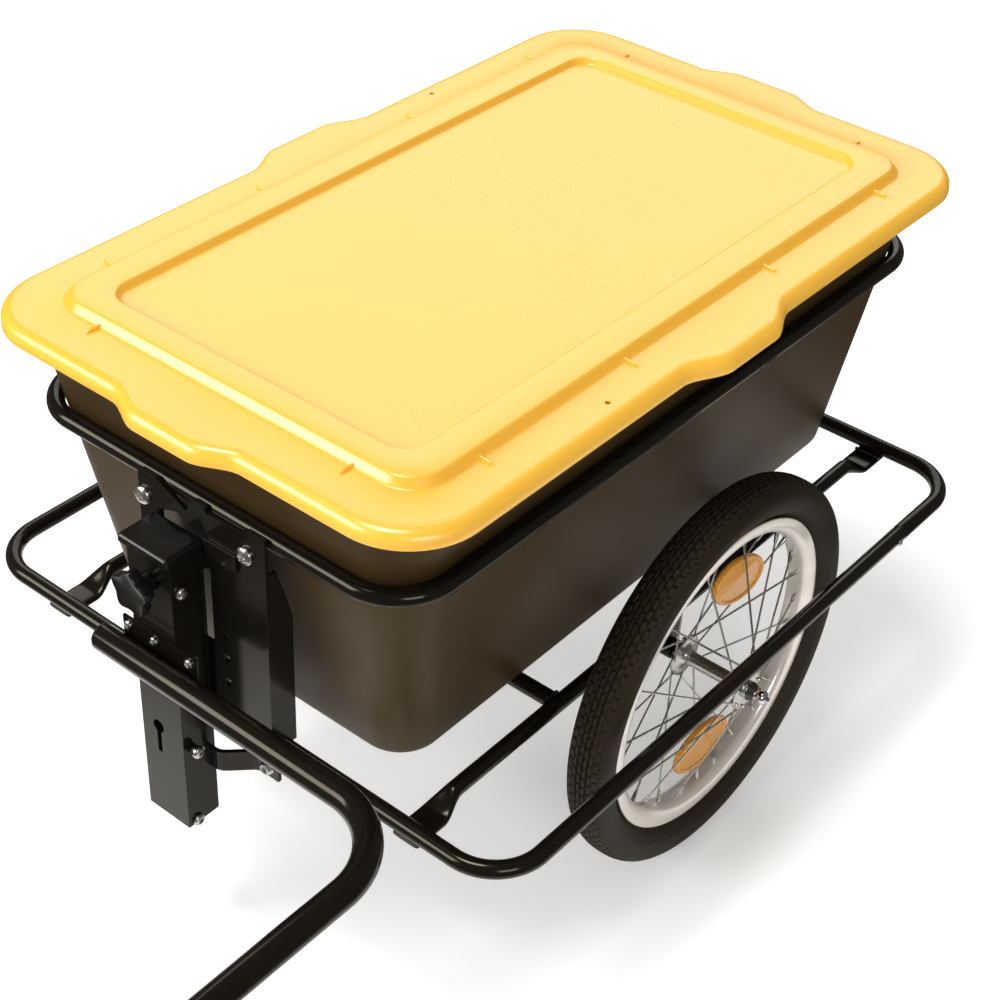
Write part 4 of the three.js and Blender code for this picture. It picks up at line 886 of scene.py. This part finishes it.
class TRAILER_OT_lid(bpy.types.Operator):
    """Makes the lid with its skirt, lobes, ridge, sunk panel and small ribs"""

    bl_idname = "trailer.lid"
    bl_label = "Lid"

    def face(self, offset):
        """Rows of one face of the lid, from the middle of the panel out to the foot of the skirt.

        Each step between two levels is a smooth cubic; offset sinks the face by the wall.
        """
        box = settings("box")
        foot, ridge_top = float(low("lid")[2]), float(high("lid")[2])
        top, panel_top = ridge_top - box.ridge_height, ridge_top - box.panel_depth
        rows = []

        def add(sizes, grow, height, lobed=False):
            grow, height = np.broadcast_arrays(np.atleast_1d(grow), height)
            width, span, corner = (size + grow for size in sizes)
            lobes = [np.full(len(grow), lobe[0] * lobed) for lobe in (box.end_lobe, box.side_lobe)]
            rows.append(np.stack([width, span, np.maximum(corner, SMALLEST_CORNER["lid"]), *lobes, height]))

        t = np.linspace(0, 1, 12)
        step, shift = smoothstep(t), offset / 2
        add(box.panel, -np.array(PANEL_ROWS), panel_top - offset)
        add(box.panel, shift - box.panel_slope * (1 - t), panel_top + box.panel_depth * step - offset)
        add(box.ridge, -shift - box.ridge_slope * (1 - t), ridge_top - box.ridge_height * step - offset)
        add(box.lid, -box.lid_edge - BRIM_ROW, top - offset, True)
        if offset:
            add(box.lid, -offset, np.array([top - offset, foot]), True)
        else:
            bend = quarter(7)
            add(box.lid, -box.lid_edge * (1 - np.sin(bend)), top - box.lid_edge * (1 - np.cos(bend)), True)
            add(box.lid, np.array([0.0, -FOOT_WIDTH]), np.array([foot + FOOT_HEIGHT, foot]), True)
        *sizes, height = np.concatenate(rows, 1)
        return stacked(outline(*sizes), height)

    def execute(self, context):
        box = settings("box")
        faces = np.concatenate([self.face(0.0), self.face(box.wall)[::-1]])
        piece = Surface().add(faces).make("lid_shell", SOFT_SHARP)
        across, ahead = box.hole_place
        line = np.array([(box.hole, -DRILL_REACH), (box.hole, DRILL_REACH)])
        for side in (-1, 1):
            centre = (side * across, BOX_Y - side * ahead, middle("lid")[2])
            drill(piece, stand(turned(line, 32), centre, UPWARDS), SOFT_SHARP)
        finish_piece(piece, "lid", "lid", "lid")
        self.ribs()
        return {"FINISHED"}

    def ribs(self):
        """Small ribs across the ridge's foot, which fall off at their ends as the root of 1 - t**4"""
        width, span, _ = settings("box").ridge
        top = float(high("lid")[2]) - settings("box").ridge_height
        ribs = Surface()
        t = np.linspace(-1, 1, 13)[:, None]
        swell = np.sqrt(np.clip(1 - t**4, RIB_END, 1))
        wide, tall = RIB_WIDE * swell * np.cos(turns(12)), RIB_TALL * swell * np.sin(turns(12))
        run = np.broadcast_to(RIB_HALF * t, wide.shape)
        for side in (-1, 1):
            for place in SIDE_RIBS:
                ribs.add(np.stack([run, wide, tall], -1) + [side * width, BOX_Y + place * span, top])
            for place in END_RIBS:
                ribs.add(np.stack([wide, run, tall], -1) + [place * width, BOX_Y + side * span, top])
        finish_piece(ribs.make("lid_ribs", SOFT_SHARP), "lid", "lid")


# Wheels
SEGMENTS = 864
# Half of the tyre's section above the beads: share of its height, and share of its half width
TYRE_OUTSIDE = (
    (0.05, 0.46), (0.2, 0.76), (0.38, 0.95), (0.56, 1.0), (0.72, 0.965), (0.84, 0.86), (0.93, 0.66),
    (0.985, 0.36), (1.0, 0.0),
)
TYRE_INSIDE = ((0.1, 0.36), (0.34, 0.72), (0.6, 0.8), (0.84, 0.5), (0.9, 0.0))
# The beads: distance inside the rim's edge, thickness as a share of the half width, depths as shares of the
# height
BEAD_INSIDE_RIM, BEAD_THICKNESS, BEAD_DEPTHS = 2.7 * MM, 0.15, (-0.21, -0.08)
# The tread, in shares of the half width: width of a row, shift of every other row and of one side, slant of
# the cross grooves, their half width and that of the ring grooves, and the tread's edge with its slope
TREAD = {
    "row": 0.24, "shift": 0.5, "side": 0.25, "slant": 0.22, "cross": 0.16, "ring": 0.04, "edge": 0.8,
    "slope": 0.05,
}
# The fine rings on the tyre's sides: places and width as shares of the height, and how far they stand out
SIDE_RINGS, RING_WIDTH, RING_HEIGHT = (0.2, 0.27, 0.48, 0.55), 0.018, 0.9 * MM
# Where the tread starts as a share of the height, and the rings as a share of the half width
TREAD_FROM, RINGS_OUT = 0.6, 0.5
# The rim's section: 0 for its inner face or 1 for its edge, millimetres from there, share of its half width
RIM_ROWS = (
    (0, 0, 0.0), (0, 0, 0.3), (0, 0.3, 0.52), (0, 1.6, 0.7), (0, 4.5, 0.88), (0, 7.5, 0.98), (0, 10, 1.0),
    (1, -2, 1.0), (1, -0.5, 0.985), (1, 0, 0.93), (1, -0.4, 0.85), (1, -1.6, 0.82), (0, 9, 0.815),
    (0, 8, 0.78), (0, 8, 0.0),
)
# The hub's section: 0 for its bore, 1 for its barrel or 2 for its flange, millimetres out from there, and
# millimetres from the hub's end
BORE = 5.6 * MM
HUB_ROWS = (
    (0, 0, 0), (1, 1.5, 0), (1, 2, 0.5), (1, 2, 2.4), (2, -5, 3), (2, -0.6, 3.1), (2, 0, 3.6), (2, 0, 5.4),
    (2, -0.6, 5.9), (2, -5, 6), (1, 3, 7.5), (1, 0.6, 11), (1, 0, 16),
)
# Spokes: place of their holes in the flanges, lean out of line there, turn from hub to rim, lean at the rim
SPOKE_HOLES, SPOKE_LEAN, SPOKE_TURN, RIM_LEAN = 4.5 * MM, MM, math.radians(50), 1.4 * MM
NIPPLE_LENGTH, NIPPLE_RADII = 11 * MM, np.array([2.2, 2.2, 1.9, 1.5]) * MM
HEAD_FROM, HEAD_TO, HEAD_RADII = 0.4 * MM, 3 * MM, np.array([1.8, 2.0, 1.4, 0.6]) * MM
# A reflector's rows: share of its half sizes, and height over its middle in millimetres
LENS_ROWS = (
    (0.0, 2.3), (0.55, 2.2), (0.84, 1.8), (0.86, 2.9), (0.9, 3.4), (0.96, 3.2), (0.985, 2.6), (1.0, 1.6),
)
# An axle's radii and places in millimetres, from its tip, from its end, and for the dish in its ball end
AXLE_TIP = ((0.5, 0), (3.8, 0), (5, 1.4))
AXLE_HEAD = ((5, -12), (5.6, -11.8), (6.6, -11.2), (7, -10), (7, -7))
AXLE_DISH = ((3.3, -0.2), (3.2, -1.4), (0.5, -1.6))
# The ball's radius, its middle from the end and its half length, in millimetres
BALL_RADIUS, BALL_MIDDLE, BALL_HALF = 7, -4.6, 4.816
BALL_TURN = 0.36 * math.pi


def tyre_grid():
    """A smooth line through chosen shares, carried round the axle, with grooves cut into the tread."""
    wheels = settings("wheels")
    half = wheels.tyre_width / 2
    bead_out = (wheels.rim_width / 2 - BEAD_INSIDE_RIM) / half
    foot, heel = BEAD_DEPTHS
    scale = [wheels.tyre_radius - wheels.rim_radius, half]

    def section(rows, samples):
        line = spline(np.array(rows) * scale + [wheels.rim_radius, 0], samples)
        return line, line * [1, -1]

    right, left = section([(foot, bead_out), (heel, bead_out), *TYRE_OUTSIDE], 62)
    inner_right, inner_left = section([(foot, bead_out - BEAD_THICKNESS), *TYRE_INSIDE], 16)
    profile = np.concatenate([right, left[-2::-1]])
    inside = turned(np.concatenate([inner_left, inner_right[-2::-1]]), SEGMENTS)
    angle = turns(SEGMENTS)[:, None]
    outside = round_x(tread_radius(profile, angle), profile[:, 1], angle)
    return np.concatenate([outside, inside], 1) + [wheels.plane, 0, 0]


def tread_radius(profile, angle):
    """The radius of each tyre point: the section's radius less the depth of the grooves there.

    A groove is a smooth step of the distance to the nearest groove line: rows of blocks, every other row
    shifted by half a block. The fine rings on the sides are bell curves of the height.
    """
    wheels = settings("wheels")
    radius, across = profile.T
    height = (radius - wheels.rim_radius) / (wheels.tyre_radius - wheels.rim_radius)
    out = np.abs(across) / (wheels.tyre_width / 2)
    row = out / TREAD["row"]
    to_line = np.abs(out - TREAD["row"] * np.arange(3)[:, None]).min(0)
    shift = TREAD["shift"] * (row.astype(int) % 2) + TREAD["side"] * (across < 0)
    slant = TREAD["slant"] * np.abs(row % 1.0 - 0.5)
    phase = (angle * wheels.tread_blocks / (2 * np.pi) + shift + slant) % 1.0
    cross_cut = smoothstep(1 - np.abs(phase - 0.5) / TREAD["cross"])
    cuts = np.maximum(cross_cut, smoothstep(1 - to_line / TREAD["ring"]))
    on_tread = smoothstep((TREAD["edge"] - out) / TREAD["slope"]) * (height > TREAD_FROM)
    bells = np.exp(-(((height[:, None] - np.array(SIDE_RINGS)) / RING_WIDTH) ** 2)).sum(1)
    return radius - wheels.tread_depth * on_tread * cuts + RING_HEIGHT * bells * (out > RINGS_OUT)


def rim_profile():
    """The rim's section: a box with rolled edges and a dished inner face."""
    wheels = settings("wheels")
    start, offset, out = np.array(RIM_ROWS).T
    radius = np.where(start == 0, wheels.rim_inner, wheels.rim_radius) + offset * MM
    right = np.stack([radius, out * wheels.rim_width / 2], -1)
    return np.concatenate([right, (right * [1, -1])[-2:0:-1]]) + [0, wheels.plane]


def hub_profile():
    """Radius against place along the axle: barrel, two flanges with rounded rims and end collars."""
    wheels = settings("wheels")
    start, offset, place = np.array(HUB_ROWS).T
    radius = np.array([BORE, wheels.barrel, wheels.flange])[start.astype(int)] + offset * MM
    inner, outer = wheels.hub
    place = inner + place * MM
    mirrored = inner + outer - place
    return np.stack([np.append(radius, radius[::-1]), np.append(place, mirrored[::-1])], -1)


def spoke_rods():
    """Spokes, nipples and heads: pairs lean forwards and backwards, on the two flanges by turns."""
    wheels = settings("wheels")
    number = np.arange(wheels.spokes)
    lean = np.where((number // 2) % 2 == 0, 1.0, -1.0)
    inner, outer = wheels.hub
    holes = np.where(number % 2 == 0, outer - SPOKE_HOLES, inner + SPOKE_HOLES)
    at_rim = 2 * np.pi * number / wheels.spokes
    start = round_x(wheels.spoke_circle, holes + lean * SPOKE_LEAN, at_rim + lean * SPOKE_TURN)
    end = round_x(wheels.rim_inner - CLEARANCE, wheels.plane + lean * RIM_LEAN, at_rim)
    outward = X_AXIS * np.sign(start[:, :1] - wheels.plane)
    return [
        *rods(start, end, [wheels.spoke / 2] * 2),
        *rods(end, end + unit(start - end) * NIPPLE_LENGTH, NIPPLE_RADII, 10),
        *rods(start + outward * HEAD_FROM, start + outward * HEAD_TO, HEAD_RADII, 10),
    ]


class TRAILER_OT_wheels(bpy.types.Operator):
    """Makes tyres with tread, rims, hubs with spokes and nipples, reflectors and valves"""

    bl_idname = "trailer.wheels"
    bl_label = "Wheels"

    def execute(self, context):
        tyre, rim, hub = tyre_grid(), turned(rim_profile(), 288), turned(hub_profile(), 96)
        for label, side in SIDES:
            body = "wheel_" + label
            for name, grid, finish, sharp in (
                ("tyre", tyre, "rubber", MOULDED_SHARP), ("rim", rim, "alloy", CRISP_SHARP),
            ):
                node = f"{name}_{label}"
                placed = place_wheel(grid, side)
                build(f"{node}_{finish}", placed, finish, body, node, sharp=sharp, wrap=True)
            surface = Surface().add(place_wheel(hub, side), wrap_rows=True)
            for rod in spoke_rods():
                surface.add(place_wheel(rod, side))
            finish_piece(surface.make(f"hub_{label}_steel", TURNED_SHARP), "zinc", body, f"hub_{label}")
            soften("dark", CONE_EDGE, f"cone_inner_{label}", f"cone_outer_{label}")
            soften("soft", CONE_EDGE, f"valve_{label}")
            self.reflectors(label, side)
        return {"FINISHED"}

    def reflectors(self, label, side):
        """Oval lenses: ellipses whose thickness falls off outwards, with a raised border on each face"""
        wheels = settings("wheels")
        angle = turns(96)
        share_out, lift = np.array(LENS_ROWS).T
        share_out = np.append(share_out, share_out[::-1])[:, None]
        lift = np.append(lift, -lift[::-1])[:, None] * MM
        length, height = wheels.reflector
        tangent = length * share_out * np.cos(angle)
        radial = wheels.reflector_place + height * share_out * np.sin(angle)
        x = np.broadcast_to(wheels.plane + wheels.reflector_shift + lift, tangent.shape)
        for which, turn in (("upper", wheels.reflector_upper), ("lower", wheels.reflector_lower)):
            node = f"reflector_{which}_{label}"
            c, s = math.cos(turn), math.sin(turn)
            points = np.stack([x, radial * c - tangent * s, radial * s + tangent * c], -1)
            lens = Surface().add(place_wheel(points, side), caps=False)
            finish_piece(lens.make(node + "_lens", MOULDED_SHARP), "amber", "wheel_" + label, node)


class TRAILER_OT_axles(bpy.types.Operator):
    """Makes the quick-release axles with their ball ends, and rounds their buttons"""

    bl_idname = "trailer.axles"
    bl_label = "Quick-Release Axles"

    def execute(self, context):
        bend = np.linspace(0, BALL_TURN, 9)
        ball = np.stack([BALL_RADIUS * np.cos(bend), BALL_MIDDLE + BALL_HALF * np.sin(bend)], -1)
        for label, side in SIDES:
            node = f"axle_{label}"
            tip, end = sorted(abs(float(corner[0])) for corner in (low(node), high(node)))
            head = np.concatenate([AXLE_HEAD, ball, AXLE_DISH]) * MM + [0, end]
            profile = np.concatenate([np.array(AXLE_TIP) * MM + [0, tip], head])
            pin = place_wheel(turned(profile, 64), side)
            build(node + "_pin", pin, "chrome", node, node, sharp=CRISP_SHARP, wrap=True)
            soften("chrome", BUTTON_EDGE, f"button_{label}")
        return {"FINISHED"}


# Hitch
DRAWBAR_ROUNDING = 0.8 * MM
KNOB = {
    "rise": 165 * MM, "radius": 21.5 * MM, "lobes": 5, "turn": 0.3, "waist": 0.22, "hollow": 0.8,
    "stud": 4 * MM,
}
# The knob's head in shares of its radius, and its boss in millimetres, with the depth behind the face
KNOB_HEAD = (
    (0.10, 1.6), (0.55, 1.4), (0.84, 0.9), (0.94, 0.45), (0.985, 1.2), (1.0, 2.4), (1.0, 7.2), (0.985, 9.6),
    (0.93, 11.3), (0.84, 12.0), (0.5, 12.2),
)
KNOB_BOSS = ((10.0, 12.3), (9.2, 14.0), (9.0, 22.6), (4.2, 22.7), (4.0, 23.2))


class TRAILER_OT_drawbar(bpy.types.Operator):
    """Makes the bent drawbar and rounds its plug, fork and pull pin"""

    bl_idname = "trailer.drawbar"
    bl_label = "Drawbar"

    def execute(self, context):
        tubes = settings("tubes")
        start, end, height = low("drawbar"), high("drawbar"), float(middle("drawbar")[2])
        radius = tubes.drawbar_tube / 2
        line = float(end[1]) - radius
        (side, ahead), (tip, sweep) = tubes.drawbar_run, tubes.drawbar_tip
        straight = AXLE_Y - ahead
        corners = [
            (start[0], line), (side, line), (side, straight), (tip, straight - sweep), (tip, start[1]),
        ]
        grid = level_tube(rounded_path(corners, tubes.drawbar_bend), height, radius, 40)
        build("drawbar_tube", capped(grid, radius, DRAWBAR_ROUNDING), "paint", "drawbar", "drawbar")
        soften("soft", PLUG_EDGE, "drawbar_plug")
        soften("paint", FORK_EDGE, "coupling_fork", segments=3)
        soften("zinc", PIN_EDGE, "coupling_pin")
        return {"FINISHED"}


class TRAILER_OT_knob(bpy.types.Operator):
    """Makes the star knob with its rounded lobes"""

    bl_idname = "trailer.knob"
    bl_label = "Star Knob"

    def execute(self, context):
        face, back = float(low("star_knob")[1]), float(high("star_knob")[1])
        angle = turns(160)
        share_out, depth = np.array(KNOB_HEAD).T
        lobes = (1 + np.cos(KNOB["lobes"] * (angle - KNOB["turn"]))) / 2
        waist = KNOB["waist"] * (1 - lobes) ** KNOB["hollow"]
        head = KNOB["radius"] * share_out[:, None] * (1 - waist * smoothstep(share_out)[:, None])
        boss, boss_depth = np.array(KNOB_BOSS).T
        stem = np.append(boss * MM, KNOB["stud"])[:, None]
        radius = np.concatenate([head, np.broadcast_to(stem, (len(stem), len(angle)))])
        depth = np.append(face + np.append(depth, boss_depth) * MM, back)[:, None]
        x = middle("post")[0] + radius * np.cos(angle)
        z = FRAME_Z + KNOB["rise"] + radius * np.sin(angle)
        grid = np.stack(np.broadcast_arrays(x, depth, z), -1)
        build("star_knob_grip", grid, "soft", "knob", "star_knob", sharp=TURNED_SHARP)
        return {"FINISHED"}


# Stage
CAMERA = {
    "lens": 71.9, "sensor": 36.0, "shift": (-0.0172, -0.0455), "reach": 50.0,
    "heading": 37.72, "pitch": 36.07, "roll": 2.88, "place": (0.9625, -1.2105, 1.2023),
}
SUN = {"toward": (-0.17, -0.2, 0.96), "angle": 22.0, "strength": 1.7}
# Each lamp: name, place, what it shines at, width and height, power
LAMPS = (
    ("front", (-2.8, -3.9, 2.7), (0.0, 0.2, 0.3), (3.4, 2.4), 205.0),
    ("fill", (3.2, -1.6, 1.8), (0.0, 0.1, 0.3), (1.6, 1.2), 36.0),
    ("back", (-2.4, 3.4, 3.0), (0.0, 0.3, 0.4), (4.4, 2.4), 62.0),
)
SURROUNDINGS = {"tint": (1.0, 0.97, 0.92), "light": 0.33, "mirrored": 0.15}
FLOOR = {
    "half": 14.0, "lines": 15, "roughness": 0.9, "gloss": 0.1, "glow": 0.27,
    "near": 0.55, "far": 0.85, "mirrored": (0.10, 0.08, 0.06),
}


def photo_camera():
    """A camera set by its place from axle and frame, its heading, pitch and roll, and a shifted lens"""
    heading, pitch, roll = (math.radians(CAMERA[name]) for name in ("heading", "pitch", "roll"))
    turn = Matrix.Rotation(heading, 4, "Z") @ Matrix.Rotation(math.pi / 2 - pitch, 4, "X")
    turn = turn @ Matrix.Rotation(roll, 4, "Z")
    data = bpy.data.cameras.new("camera")
    data.lens = CAMERA["lens"]
    data.sensor_width = CAMERA["sensor"]
    data.shift_x, data.shift_y = CAMERA["shift"]
    data.clip_end = CAMERA["reach"]
    camera = bpy.data.objects.new("camera", data)
    x, y, z = CAMERA["place"]
    camera.matrix_world = Matrix.Translation(Vector((x, AXLE_Y + y, FRAME_Z + z))) @ turn
    bpy.context.scene.collection.objects.link(camera)
    bpy.context.scene.camera = camera


def add_lamp(name, kind, power, turn, place=(0, 0, 0)):
    data = bpy.data.lights.new(name, kind)
    data.energy = power
    lamp = bpy.data.objects.new(name, data)
    lamp.matrix_world = Matrix.Translation(Vector(place)) @ turn.to_matrix().to_4x4()
    bpy.context.scene.collection.objects.link(lamp)
    return data


def area_lamp(name, place, target, size, power):
    direction = Vector(target) - Vector(place)
    data = add_lamp(name, "AREA", power, direction.to_track_quat("-Z", "Y"), place)
    data.shape = "RECTANGLE"
    data.size, data.size_y = size


def sun_lamp(name, toward, angle, strength):
    """A far, soft lamp that shines from a direction"""
    data = add_lamp(name, "SUN", strength, Vector(toward).to_track_quat("Z", "Y"))
    data.angle = math.radians(angle)


class TRAILER_OT_stage(bpy.types.Operator):
    """Sets the camera, the pale floor, the white surroundings and the soft lamps"""

    bl_idname = "trailer.stage"
    bl_label = "Studio"

    def execute(self, context):
        scene = context.scene
        scene.view_settings.view_transform = "Standard"
        photo_camera()
        self.world(scene)
        self.floor()
        sun_lamp("key", **SUN)
        for lamp in LAMPS:
            area_lamp(*lamp)
        return {"FINISHED"}

    def world(self, scene):
        """Soft warm surroundings, darker where they are mirrored and plain white where the camera looks"""
        world = bpy.data.worlds.new("studio")
        world.use_nodes = True
        scene.world = world
        tree = world.node_tree
        rays = add_node(tree, "LightPath").outputs
        light = mixed(tree, rays["Is Glossy Ray"], SURROUNDINGS["light"], SURROUNDINGS["mirrored"])
        feed(tree, tree.nodes["Background"], {
            "Color": mixed(tree, rays["Is Camera Ray"], SURROUNDINGS["tint"], WHITE),
            "Strength": mixed(tree, rays["Is Camera Ray"], light, 1.0),
        })

    def floor(self):
        """A wide flat floor, white away from the trailer's shadow, darker with distance where mirrored"""
        line = np.linspace(-FLOOR["half"], FLOOR["half"], FLOOR["lines"])
        grid = np.stack(np.meshgrid(line, line, indexing="ij"), -1)
        flat = np.concatenate([grid, np.zeros((*grid.shape[:2], 1))], -1)
        piece = Surface().add(flat, wrap_columns=False, caps=False).make("floor")
        material, tree, shader = plain_material("studio_floor")
        rays = add_node(tree, "LightPath").outputs
        place = add_node(tree, "TexCoord").outputs["Object"]
        away = add_node(tree, "VectorMath", {0: place, 1: (0.0, BOX_Y, 0.0)}, operation="DISTANCE")
        ends = {"Value": away.outputs["Value"], "From Min": FLOOR["near"], "From Max": FLOOR["far"]}
        fade = add_node(tree, "MapRange", ends, interpolation_type="SMOOTHSTEP")
        dark = calculate(tree, "MULTIPLY", fade.outputs["Result"], rays["Is Glossy Ray"])
        feed(tree, shader, {
            "Base Color": mixed(tree, dark, tuple(settings("colours").floor), FLOOR["mirrored"]),
            "Roughness": FLOOR["roughness"],
            "Specular IOR Level": FLOOR["gloss"],
            "Emission Color": (*WHITE, 1.0),
            "Emission Strength": calculate(tree, "MULTIPLY", rays["Is Camera Ray"], FLOOR["glow"]),
        })
        piece.data.materials.append(material)


class TRAILER_PT_panel(bpy.types.Panel):
    """Lists the steps that build the trailer"""

    bl_idname = "TRAILER_PT_panel"
    bl_label = "Trailer"
    bl_space_type = "VIEW_3D"
    bl_region_type = "UI"
    bl_category = "Trailer"

    def draw(self, context):
        for step in STEPS:
            self.layout.operator(step.bl_idname)


STEPS = (
    TRAILER_OT_frame,
    TRAILER_OT_fittings,
    TRAILER_OT_tub,
    TRAILER_OT_lid,
    TRAILER_OT_wheels,
    TRAILER_OT_axles,
    TRAILER_OT_drawbar,
    TRAILER_OT_knob,
    TRAILER_OT_stage,
)
GROUPS = {
    "tubes": TrailerTubes,
    "wheels": TrailerWheels,
    "box": TrailerBox,
    "colours": TrailerColours,
}


def register():
    for kind in (*GROUPS.values(), *STEPS, TRAILER_PT_panel):
        bpy.utils.register_class(kind)
    for name, kind in GROUPS.items():
        setattr(bpy.types.Scene, "trailer_" + name, bpy.props.PointerProperty(type=kind))


def unregister():
    for name in GROUPS:
        delattr(bpy.types.Scene, "trailer_" + name)
    for kind in (TRAILER_PT_panel, *reversed(STEPS), *reversed(GROUPS.values())):
        bpy.utils.unregister_class(kind)


def main():
    register()
    for step in STEPS:
        operator = getattr(bpy.ops.trailer, step.bl_idname.split(".")[1])
        operator()
    bpy.context.view_layer.update()


if __name__ == "__main__":
    main()
